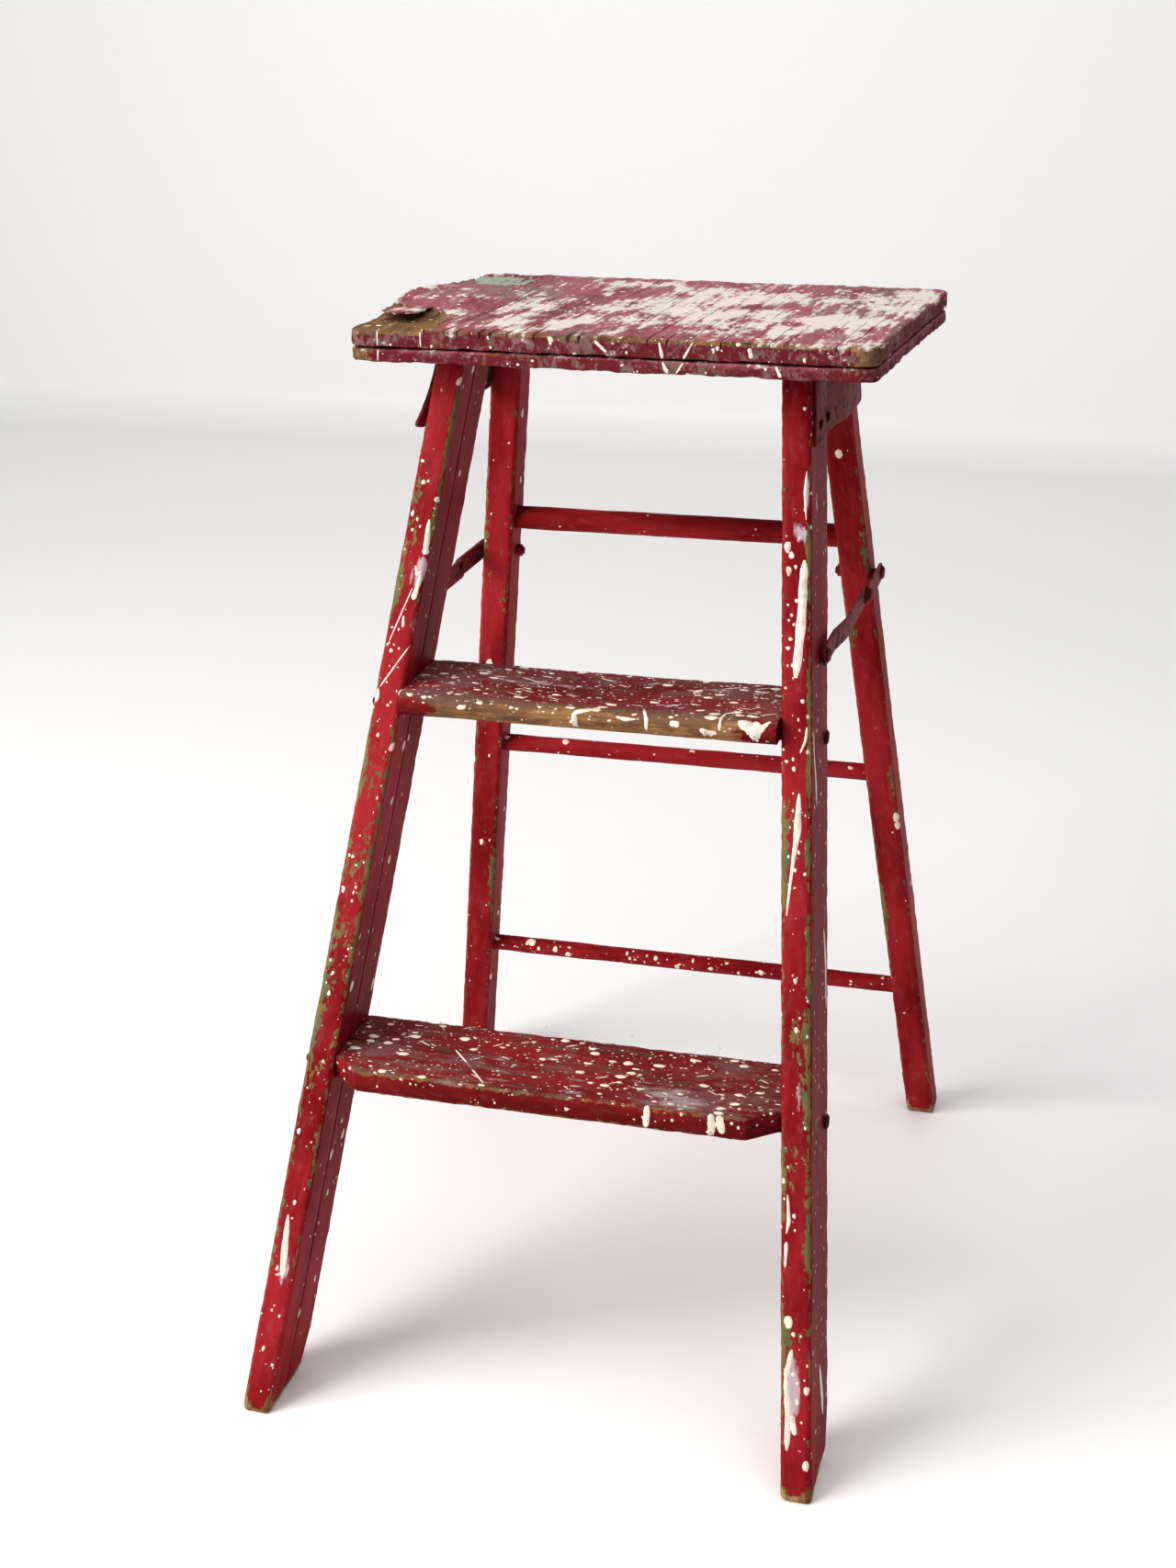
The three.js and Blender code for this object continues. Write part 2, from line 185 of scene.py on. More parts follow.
def block(name: str, low: Vector, high: Vector) -> bpy.types.Object:
    """A sawn block between two corners, the start of every wooden piece.

    Args:
        name: the piece's name.
        low: its lowest corner.
        high: its highest corner.
    Returns:
        The block, with its place in its mesh.
    """
    bpy.ops.mesh.primitive_cube_add(size=1, location=(low + high) / 2)
    piece = bpy.context.object
    piece.name = piece.data.name = name
    take(piece)
    bpy.ops.transform.resize(value=high - low)
    bpy.ops.object.transform_apply(location=True, rotation=True, scale=True)
    return piece


def copy_of(node: str, name: str) -> bpy.types.Object:
    """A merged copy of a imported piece, to cut with or to shape further.

    Args:
        node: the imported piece's name.
        name: the copy's name.
    Returns:
        The copy, riding on nothing yet.
    """
    piece = bpy.data.objects.new(name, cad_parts[node].data.copy())
    bpy.context.scene.collection.objects.link(piece)
    piece.data.materials.clear()
    with Bench(piece):
        bpy.ops.mesh.select_all(action="SELECT")
        bpy.ops.mesh.remove_doubles(threshold=0.01 * MM)
        bpy.ops.mesh.dissolve_limited(angle_limit=math.radians(1))
    return piece


def finish_modifier(piece: bpy.types.Object, modifier: bpy.types.Modifier) -> None:
    """Applies a modifier to its piece."""
    take(piece)
    bpy.ops.object.modifier_apply(modifier=modifier.name)


def join(pieces: Sequence[bpy.types.Object], name: str) -> bpy.types.Object:
    """Joins meshes into one piece.

    Args:
        pieces: the meshes.
        name: the joined piece's name.
    Returns:
        The joined piece.
    """
    take(pieces[0])
    for piece in pieces:
        piece.select_set(True)
    if len(pieces) > 1:
        bpy.ops.object.join()
    pieces[0].name = pieces[0].data.name = name
    return pieces[0]


def cut(piece: bpy.types.Object, tools: Sequence[bpy.types.Object]) -> None:
    """Cuts the tools' shapes out of a piece, and throws the tools away.

    Args:
        piece: what is cut.
        tools: closed meshes that don't overlap each other.
    """
    tool = join(tools, "cutter")
    modifier = piece.modifiers.new("cut", "BOOLEAN")
    modifier.object = tool
    modifier.operation = "DIFFERENCE"
    modifier.solver = "EXACT"
    finish_modifier(piece, modifier)
    bpy.data.objects.remove(tool)


def places(piece: bpy.types.Object) -> np.ndarray:
    """The places of a piece's vertices.

    Args:
        piece: the piece.
    Returns:
        Their coordinates, a row each.
    """
    found = np.empty(len(piece.data.vertices) * 3)
    piece.data.vertices.foreach_get("co", found)
    return found.reshape(-1, 3)


def put_back(piece: bpy.types.Object, moved: np.ndarray) -> None:
    """Sets the piece's vertices, a row each."""
    piece.data.vertices.foreach_set("co", moved.astype(np.float32).ravel())
    piece.data.update()


def roughen(piece: bpy.types.Object, size: float, strength: float, weights: np.ndarray | None = None,
            direction: str = "NORMAL", middle: float = 0.5) -> None:
    """Moves a piece's surface by a cloudy pattern, as years of knocks do.

    Args:
        piece: the piece.
        size: how far apart the dents are.
        strength: how far the surface moves between the pattern's darkest and lightest.
        weights: how much each vertex moves, from 0 to 1, or None for all of it.
        direction: the axis moved along, or the normal.
        middle: the pattern's value that doesn't move.
    """
    pattern = bpy.data.textures.new("dents", "CLOUDS")
    pattern.noise_scale = size
    pattern.noise_depth = 2
    modifier = piece.modifiers.new("roughen", "DISPLACE")
    modifier.texture = pattern
    modifier.texture_coords = "LOCAL"
    modifier.direction = direction
    modifier.strength = strength
    modifier.mid_level = middle
    if weights is not None:
        group = piece.vertex_groups.new(name="loose")
        for index in np.nonzero(weights > 0.01)[0]:
            group.add([int(index)], float(weights[index]), "REPLACE")
        modifier.vertex_group = group.name
    finish_modifier(piece, modifier)
    piece.vertex_groups.clear()


def edge_closeness(at: np.ndarray, low: Sequence[float], high: Sequence[float], reach: float) -> np.ndarray:
    """How near each point is to the edges of a box that it lies on.

    Args:
        at: the points, a row each.
        low: the box's lowest corner.
        high: the box's highest corner.
        reach: how far from an edge the closeness falls to zero.
    Returns:
        The closeness, 1 on an edge.
    """
    gaps = np.minimum(at - np.array(low), np.array(high) - at)
    return np.clip(1 - np.sort(gaps, axis=1)[:, 1] / reach, 0, 1)


@dataclass(frozen=True)
class Spot:
    """A soft patch on a piece, in the piece's own upright coordinates."""

    centre: tuple[float, float, float]
    reach: tuple[float, float, float]
    amount: float = 1.0


def patches(at: np.ndarray, spots: Sequence[Spot]) -> np.ndarray:
    """The sum of the soft patches at each point, no more than one.

    Args:
        at: the points, a row each.
        spots: the patches.
    Returns:
        The amount at each point.
    """
    total = np.zeros(len(at))
    for spot in spots:
        away = (at - np.array(spot.centre)) / np.array(spot.reach)
        total += spot.amount * np.exp(-(away**2).sum(axis=1))
    return np.clip(total, 0, 1)


def mark(piece: bpy.types.Object, **values: np.ndarray) -> None:
    """Stores named values on the piece's vertices for its finish to read.

    Args:
        piece: the piece.
        values: for each name, a number or a row of three for every vertex.
    """
    for name, value in values.items():
        kind, key = ("FLOAT_VECTOR", "vector") if value.ndim == 2 else ("FLOAT", "value")
        attribute = piece.data.attributes.new(name, kind, "POINT")
        attribute.data.foreach_set(key, value.astype(np.float32).ravel())


def along_grain(at: np.ndarray, fibre: Fibre, offset: float) -> np.ndarray:
    """Turns a piece's coordinates so that the third one runs along its grain.

    Args:
        at: the points, a row each.
        fibre: the axis that the grain runs along.
        offset: a shift that gives each piece its own grain.
    Returns:
        The turned and shifted points.
    """
    order = [k for k in range(3) if k != fibre.value] + [fibre.value]
    return at[:, order] + offset


def smooth(piece: bpy.types.Object, degrees: float = 38) -> None:
    """Shades the piece smoothly, except over edges sharper than the angle."""
    take(piece)
    bpy.ops.object.shade_smooth_by_angle(angle=math.radians(degrees))


def fit(piece: bpy.types.Object, body: str, finish: "Finish", *nodes: str) -> None:
    """Hands a finished piece over: its finish, the body that it rides on and what it stands for.

    Args:
        piece: the piece.
        body: the body that it moves with.
        finish: its finish.
        nodes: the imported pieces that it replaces.
    """
    piece.data.materials.clear()
    piece.data.materials.append(finish.material())
    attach(piece, body)
    if nodes:
        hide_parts(*nodes)
    log.info("%s: %d faces", piece.name, len(piece.data.polygons))


# ---- Finishes ----
class Wiring:
    """Adds nodes to a tree and joins them."""

    def __init__(self, tree: bpy.types.NodeTree) -> None:
        """Takes the node tree that is to be filled."""
        self.tree = tree

    def node(self, kind: str, inputs: dict[str | int, object] | None = None,
             **settings: object) -> bpy.types.Node:
        """Adds a node.

        Args:
            kind: the node's type, without its ShaderNode prefix.
            inputs: sockets or values for its inputs.
            settings: its other settings.
        Returns:
            The new node.
        """
        made = self.tree.nodes.new("ShaderNode" + kind)
        for name, value in settings.items():
            setattr(made, name, value)
        self.feed(made, inputs or {})
        return made

    def feed(self, made: bpy.types.Node, inputs: dict[str | int, object]) -> None:
        """Joins or sets a node's inputs.

        Args:
            made: the node.
            inputs: a socket or a value for each input.
        """
        for key, value in inputs.items():
            if isinstance(value, bpy.types.NodeSocket):
                self.tree.links.new(value, made.inputs[key])
            else:
                made.inputs[key].default_value = value

    def math(self, operation: str, a: object, b: object = 0.0, clamp: bool = False) -> bpy.types.NodeSocket:
        """One sum of two numbers, each a socket or a value."""
        return self.node("Math", {0: a, 1: b}, operation=operation, use_clamp=clamp).outputs[0]

    def total(self, *terms: tuple[object, float]) -> bpy.types.NodeSocket:
        """The sum of sockets, each times its own weight.

        Args:
            terms: a socket and a weight each.
        Returns:
            The sum's socket.
        """
        found = self.math("MULTIPLY", terms[0][0], terms[0][1])
        for value, weight in terms[1:]:
            found = self.math("ADD", found, self.math("MULTIPLY", value, weight))
        return found

    def step(self, value: object, low: object, high: object) -> bpy.types.NodeSocket:
        """A smooth step from 0 at low to 1 at high."""
        return self.node("MapRange", {"Value": value, "From Min": low, "From Max": high},
                         interpolation_type="SMOOTHSTEP").outputs["Result"]

    def mix(self, share: object, a: object, b: object, blend: str = "MIX") -> bpy.types.NodeSocket:
        """Colour a turning into colour b by the share."""
        return self.node("Mix", {0: share, 6: a, 7: b}, data_type="RGBA", blend_type=blend).outputs[2]

    def stretch(self, vector: object, by: tuple[float, float, float]) -> bpy.types.NodeSocket:
        """A vector with each coordinate times its own factor."""
        return self.node("VectorMath", {0: vector, 1: by}, operation="MULTIPLY").outputs[0]

    def noise(self, vector: object, scale: object, detail: float = 4.0,
              rough: float = 0.55) -> bpy.types.NodeSocket:
        """A cloudy pattern between 0 and 1."""
        return self.node("TexNoise", {"Vector": vector, "Scale": scale, "Detail": detail,
                                      "Roughness": rough}).outputs["Fac"]

    def attribute(self, name: str, vector: bool = False) -> bpy.types.NodeSocket:
        """A value that is stored on the piece's vertices."""
        return self.node("Attribute", attribute_name=name).outputs["Vector" if vector else "Fac"]

    def group(self, tree: bpy.types.NodeTree, inputs: dict[str | int, object]) -> bpy.types.Node:
        """Places a shared effect with this material's own values.

        Args:
            tree: the effect's node group.
            inputs: a socket or a value for each of its inputs.
        Returns:
            The group's node.
        """
        made = self.node("Group", node_tree=tree)
        self.feed(made, inputs)
        return made


class Effect:
    """A shared effect: a node group with named inputs and outputs, built once."""

    made: dict[str, bpy.types.NodeTree] = {}

    def __init__(self, name: str, inputs: dict[str, str], outputs: Sequence[str]) -> None:
        """Starts a group.

        Args:
            name: the effect's name.
            inputs: the name and socket type of each input.
            outputs: the name of each output, all numbers.
        """
        self.tree = bpy.data.node_groups.new(name, "ShaderNodeTree")
        for socket, kind in inputs.items():
            self.tree.interface.new_socket(name=socket, in_out="INPUT", socket_type="NodeSocket" + kind)
        for socket in outputs:
            self.tree.interface.new_socket(name=socket, in_out="OUTPUT", socket_type="NodeSocketFloat")
        self.source = self.tree.nodes.new("NodeGroupInput").outputs
        self.sink = self.tree.nodes.new("NodeGroupOutput").inputs
        self.wire = Wiring(self.tree)

    def give(self, name: str, socket: bpy.types.NodeSocket) -> None:
        """Sends a socket out of the group."""
        self.tree.links.new(socket, self.sink[name])

    @classmethod
    def of(cls, build: Callable[[], "Effect"]) -> bpy.types.NodeTree:
        """The node group of an effect, built the first time that it is asked for."""
        if build.__name__ not in cls.made:
            cls.made[build.__name__] = build().tree
        return cls.made[build.__name__]


def wood_grain() -> Effect:
    """Bare wood: fine fibres and broader year rings, both drawn out along the grain.

    Returns:
        The effect.
    """
    effect = Effect("wood_grain", {"Vector": "Vector"}, ["Shade", "Height"])
    wire, vector = effect.wire, effect.source["Vector"]
    fibres = wire.noise(wire.stretch(vector, (1, 1, 0.035)), 620.0, 5.0, 0.6)
    rings = wire.noise(wire.stretch(vector, (1, 1, 0.05)), 110.0, 2.0, 0.5)
    stains = wire.noise(vector, 26.0, 3.0)
    effect.give("Shade", wire.total((fibres, 0.45), (rings, 0.4), (stains, 0.3)))
    effect.give("Height", wire.total((fibres, 0.7), (rings, 0.5)))
    return effect


def flaking() -> Effect:
    """Where paint has gone: first down to the undercoat, then down to the wood.

    Returns:
        The effect.
    """
    inputs = {"Vector": "Vector", "Edge": "Float", "Rub": "Float", "Under": "Float"}
    effect = Effect("flaking", inputs, ["Undercoat", "Wood", "Scuff"])
    wire, source = effect.wire, effect.source
    drawn = wire.stretch(source["Vector"], (1, 1, 0.42))
    broad = wire.noise(drawn, 70.0, 5.0, 0.62)
    fine = wire.noise(drawn, 420.0, 4.0, 0.6)
    edge = wire.math("POWER", source["Edge"], 1.6)
    bared = wire.total((edge, 0.34), (source["Rub"], 0.75), (broad, 0.95), (fine, 0.3))
    middling = wire.noise(wire.stretch(source["Vector"], (1, 1, 0.6)), 230.0, 5.0, 0.65)
    under = wire.total((edge, 0.36), (source["Under"], 0.4), (source["Rub"], 0.5), (broad, 0.45),
                       (fine, 0.35), (middling, 0.6))
    effect.give("Wood", wire.step(bared, 1.02, 1.07))
    effect.give("Undercoat", wire.step(under, 0.99, 1.025))
    effect.give("Scuff", wire.step(wire.noise(drawn, 150.0, 6.0, 0.7), 0.5, 0.72))
    return effect


def spatter() -> Effect:
    """Drops of spilt paint: round, of all sizes up to a cell of the pattern.

    Returns:
        The effect.
    """
    inputs = {"Vector": "Vector", "Scale": "Float", "Amount": "Float", "Largest": "Float"}
    effect = Effect("spatter", inputs, ["Drops", "Height"])
    wire, source = effect.wire, effect.source
    wander = wire.node("TexNoise", {"Vector": source["Vector"], "Scale": 190.0, "Detail": 2.0})
    shift = wire.node("VectorMath", {0: wander.outputs["Color"], 1: (0.5, 0.5, 0.5)}, operation="SUBTRACT")
    shift = wire.node("VectorMath", {0: shift.outputs[0], 3: 0.0035}, operation="SCALE")
    vector = wire.node("VectorMath", {0: source["Vector"], 1: shift.outputs[0]}, operation="ADD").outputs[0]
    cells = wire.node("TexVoronoi", {"Vector": vector, "Scale": source["Scale"]})
    chance = wire.node("SeparateColor", {"Color": cells.outputs["Color"]})
    shown = wire.math("SUBTRACT", 1.0, source["Amount"])
    size = wire.node("MapRange", {"Value": chance.outputs[0], "From Min": shown, "From Max": 1.0,
                                  "To Min": 0.0, "To Max": source["Largest"]}).outputs["Result"]
    depth = wire.math("SUBTRACT", size, cells.outputs["Distance"])
    effect.give("Drops", wire.step(depth, 0.0, 0.05))
    effect.give("Height", wire.step(depth, 0.0, 0.16))
    return effect


def film() -> Effect:
    """A thin film that lies in blotches and long wiped streaks.

    Returns:
        The effect.
    """
    inputs = {"Vector": "Vector", "Amount": "Float"}
    effect = Effect("film", inputs, ["Cover"])
    wire, source = effect.wire, effect.source
    blotches = wire.noise(wire.stretch(source["Vector"], (1, 1, 0.55)), 34.0, 7.0, 0.72)
    streaks = wire.noise(wire.stretch(source["Vector"], (1, 1, 0.07)), 210.0, 4.0, 0.6)
    lying = wire.total((blotches, 0.72), (streaks, 0.28))
    low = wire.math("SUBTRACT", 0.66, wire.math("MULTIPLY", source["Amount"], 0.34))
    effect.give("Cover", wire.step(lying, low, wire.math("ADD", low, 0.075)))
    return effect


@dataclass(frozen=True)
class Finish:
    """What a surface is finished with."""

    name: str
    slot: str = ""

    def material(self) -> bpy.types.Material:
        """The finish's material, made the first time that it is asked for.

        Returns:
            The material.
        """
        found = bpy.data.materials.get(self.name)
        if found is None:
            found = bpy.data.materials.new(self.name)
            found.use_nodes = True
            wire = Wiring(found.node_tree)
            shader = found.node_tree.nodes["Principled BSDF"]
            self.wire_up(wire, shader)
        return found

    def wire_up(self, wire: Wiring, shader: bpy.types.Node) -> None:
        """Joins the finish's nodes to its shader.

        Args:
            wire: adds nodes to the material.
            shader: the material's shader.
        """
        raise NotImplementedError

    @staticmethod
    def raise_surface(wire: Wiring, shader: bpy.types.Node, height: object, distance: float) -> None:
        """Lifts the surface by a height, in metres per unit of it."""
        bump = wire.node("Bump", {"Height": height, "Distance": distance, "Strength": 1.0})
        wire.tree.links.new(bump.outputs[0], shader.inputs["Normal"])


@dataclass(frozen=True)
class PaintedWood(Finish):
    """Old gloss paint over an undercoat, worn to the wood and spattered with cream paint."""

    paint: Colour = colour(0xA8222B)
    # The paint's deeper red: laid at random as the paint's own tone, and also used as the colour of painted
    # shade.
    deep: Colour = colour(0x7E1219)
    undercoat: Colour = colour(0x77703C)
    undercoat_cool: Colour = colour(0x5E7A58)
    wood: Colour = colour(0xB98D5A)
    wood_dark: Colour = colour(0x6B4526)
    dust: Colour = colour(0x9A6A74)
    smear: Colour = colour(0xC6BABE)
    grime: Colour = colour(0x6B5A52)
    cream: Colour = colour(0xF1E6D2)
    drop_scale: float = 70.0
    drop_size: float = 0.34
    stroke: float = 0.8
    cover: float = 0.55
    gloss: float = 0.44

    def wire_up(self, wire: Wiring, shader: bpy.types.Node) -> None:
        """Lays wood, undercoat, paint, films and drops over each other, and paints shade by deepening the
        red.

        Args:
            wire: adds nodes to the material.
            shader: the material's shader.
        """
        grain = wire.attribute("grain", vector=True)
        wood = wire.group(Effect.of(wood_grain), {"Vector": grain})
        worn = wire.group(Effect.of(flaking), {
            "Vector": grain, "Edge": wire.attribute("edge"), "Rub": wire.attribute("rub"),
            "Under": wire.attribute("under")})
        dust, grime, smear = (
            wire.group(Effect.of(film), {"Vector": wire.stretch(grain, by), "Amount": wire.attribute(kind)})
            for kind, by in (("dust", (1, 1, 1)), ("grime", (1.3, 0.8, 1.2)), ("smear", (0.8, 1.2, 0.7))))
        amount = wire.attribute("drops")
        drops = [wire.group(Effect.of(spatter), {
            "Vector": wire.stretch(grain, (1, 1, self.stroke)), "Scale": self.drop_scale * scale,
            "Amount": wire.math("MULTIPLY", amount, share),
            "Largest": self.drop_size * size}) for scale, share, size in ((1.0, 0.8, 1.0), (2.9, 0.6, 0.9))]

        bare = wire.mix(wire.step(wood.outputs["Shade"], 0.42, 0.72), self.wood_dark, self.wood)
        cooler = wire.step(wire.noise(grain, 48.0, 3.0), 0.42, 0.6)
        greens = wire.mix(cooler, self.undercoat, self.undercoat_cool)
        fresh = wire.step(wire.noise(wire.stretch(grain, (1, 1, 0.3)), 21.0, 5.0, 0.65), 0.34, 0.68)
        # Painted shade: a stored value pushes the paint to its deeper red where shade falls, on the fronts
        # and undersides of the steps and boards, on the stiles beside the lower step and down the right
        # stile's outer face.
        unshaded_share = wire.math("SUBTRACT", fresh, wire.attribute("dark"), clamp=True)
        reds = wire.mix(unshaded_share, self.deep, self.paint)
        reds = wire.mix(wire.math("MULTIPLY", worn.outputs["Scuff"], 0.22), reds, self.dust)
        base = wire.mix(worn.outputs["Undercoat"], reds, greens)
        base = wire.mix(worn.outputs["Wood"], base, bare)
        base = wire.mix(wire.math("MULTIPLY", grime.outputs["Cover"], 0.6), base, self.grime)
        base = wire.mix(wire.math("MULTIPLY", dust.outputs["Cover"], self.cover), base, self.dust)
        base = wire.mix(wire.math("MULTIPLY", smear.outputs["Cover"], 0.8), base, self.smear)
        for drop in drops:
            base = wire.mix(drop.outputs["Drops"], base, self.cream)
        wire.tree.links.new(base, shader.inputs["Base Color"])

        gone = wire.math("MAXIMUM", worn.outputs["Wood"], wire.math("MULTIPLY", dust.outputs["Cover"], 0.7))
        rough = wire.total((gone, 0.42), (worn.outputs["Undercoat"], 0.12), (worn.outputs["Scuff"], 0.1))
        wire.tree.links.new(wire.math("ADD", rough, self.gloss, clamp=True), shader.inputs["Roughness"])
        height = wire.total((worn.outputs["Wood"], -0.5), (worn.outputs["Undercoat"], -0.4),
                            (wood.outputs["Height"], 0.5), (wire.noise(grain, 90.0, 3.0), 0.8),
                            *((drop.outputs["Height"], 1.6) for drop in drops))
        self.raise_surface(wire, shader, height, 0.35 * MM)
        shader.inputs["Specular IOR Level"].default_value = 0.04


@dataclass(frozen=True)
class CreamPaint(Finish):
    """Thick drips of cream paint, a little yellowed and dirty."""

    def wire_up(self, wire: Wiring, shader: bpy.types.Node) -> None:
        """Tints the drips unevenly.

        Args:
            wire: adds nodes to the material.
            shader: the material's shader.
        """
        place = wire.node("TexCoord").outputs["Object"]
        dirt = wire.noise(place, 90.0, 5.0, 0.6)
        base = wire.mix(wire.step(dirt, 0.4, 0.75), colour(0xEDE4D4), colour(0xC4B3A2))
        wire.tree.links.new(base, shader.inputs["Base Color"])
        wire.tree.links.new(wire.math("MULTIPLY", dirt, 0.5), shader.inputs["Roughness"])
        self.raise_surface(wire, shader, wire.noise(place, 420.0, 3.0), 0.25 * MM)


@dataclass(frozen=True)
class Steel(Finish):
    """Old steel, painted over or rusted."""

    paint: Colour = colour(0x7C1F26)
    edge_colour: Colour = colour(0x8A4A48)
    rust: Colour = colour(0x4B2A1E)
    painted: float = 0.7

    def wire_up(self, wire: Wiring, shader: bpy.types.Node) -> None:
        """Breaks the paint up over the rust.

        Args:
            wire: adds nodes to the material.
            shader: the material's shader.
        """
        place = wire.node("TexCoord").outputs["Object"]
        blotch = wire.noise(place, 85.0, 6.0, 0.65)
        pits = wire.noise(place, 700.0, 4.0, 0.6)
        left = wire.step(blotch, 0.62 - 0.34 * self.painted, 0.74 - 0.34 * self.painted)
        rusts = wire.mix(wire.step(pits, 0.35, 0.7), self.rust, colour(0x2C1A16))
        base = wire.mix(left, rusts, wire.mix(wire.step(pits, 0.4, 0.8), self.paint, self.edge_colour))
        base = wire.mix(wire.step(wire.noise(place, 230.0, 3.0), 0.66, 0.7), base, self.edge_colour)
        wire.tree.links.new(base, shader.inputs["Base Color"])
        bare = wire.math("SUBTRACT", 1.0, left)
        wire.tree.links.new(wire.math("MULTIPLY", bare, 0.2), shader.inputs["Metallic"])
        wire.tree.links.new(wire.total((pits, 0.4), (bare, 0.2), (blotch, 0.55)), shader.inputs["Roughness"])
        self.raise_surface(wire, shader, wire.total((pits, 0.6), (left, 0.6), (blotch, 0.6)), 0.3 * MM)
        shader.inputs["Specular IOR Level"].default_value = 0.1


@dataclass(frozen=True)
class Plain(Finish):
    """The studio's pale floor and wall."""

    shade: Colour = colour(0xFAF9F8)

    def wire_up(self, wire: Wiring, shader: bpy.types.Node) -> None:
        """One smooth pale colour."""
        shader.inputs["Base Color"].default_value = self.shade
        shader.inputs["Roughness"].default_value = 0.45


RED_WOOD = PaintedWood("red_paint_on_wood", "red_wood", paint=colour(0xA42E33), deep=colour(0x7C171B),
                       undercoat=colour(0x7E7048), undercoat_cool=colour(0x676B4A),
                       wood=colour(0xA98560), wood_dark=colour(0x6E4A30))
STEP_WOOD = PaintedWood("red_paint_on_steps", "step_wood", paint=colour(0x8A2629), deep=colour(0x661719),
                        undercoat=colour(0x8A6038), undercoat_cool=colour(0x6E5A44), dust=colour(0x82645F),
                        smear=colour(0xA89C9A), grime=colour(0x64483F), wood=colour(0xA27C55),
                        wood_dark=colour(0x64462F), drop_scale=120.0, drop_size=0.4, stroke=0.6, gloss=0.45)
TOP_WOOD = PaintedWood("worn_paint_on_top", "top_wood", paint=colour(0x9E5A62), deep=colour(0x6C282F),
                       undercoat=colour(0x7A5A3A), undercoat_cool=colour(0x6C5040), wood=colour(0x97744F),
                       wood_dark=colour(0x54402E), dust=colour(0xE0D8CF), smear=colour(0x9FB39F),
                       grime=colour(0x86746C), drop_scale=95.0, cover=0.9, gloss=0.6)
RED_STEEL = Steel("painted_steel", "red_steel")
DARK_STEEL = Steel("rusty_steel", "dark_steel", painted=0.15)
PAINTED_NUT = Steel("painted_nuts", "dark_steel", paint=colour(0x8C2026), painted=0.95)
CREAM = CreamPaint("cream_paint")
STUDIO = Plain("studio_white")


# ---- Wooden pieces ----
@dataclass(frozen=True)
class Wear:
    """Where a post's paint is worn, dirty or spattered, and where shade is painted on it."""

    green: tuple[Spot, ...] = ()
    rubbed: tuple[Spot, ...] = ()
    smeared: tuple[Spot, ...] = ()
    # Patches of painted shade, where the paint is pushed to its deeper red.
    dark: tuple[Spot, ...] = ()
    drops: float = 0.2


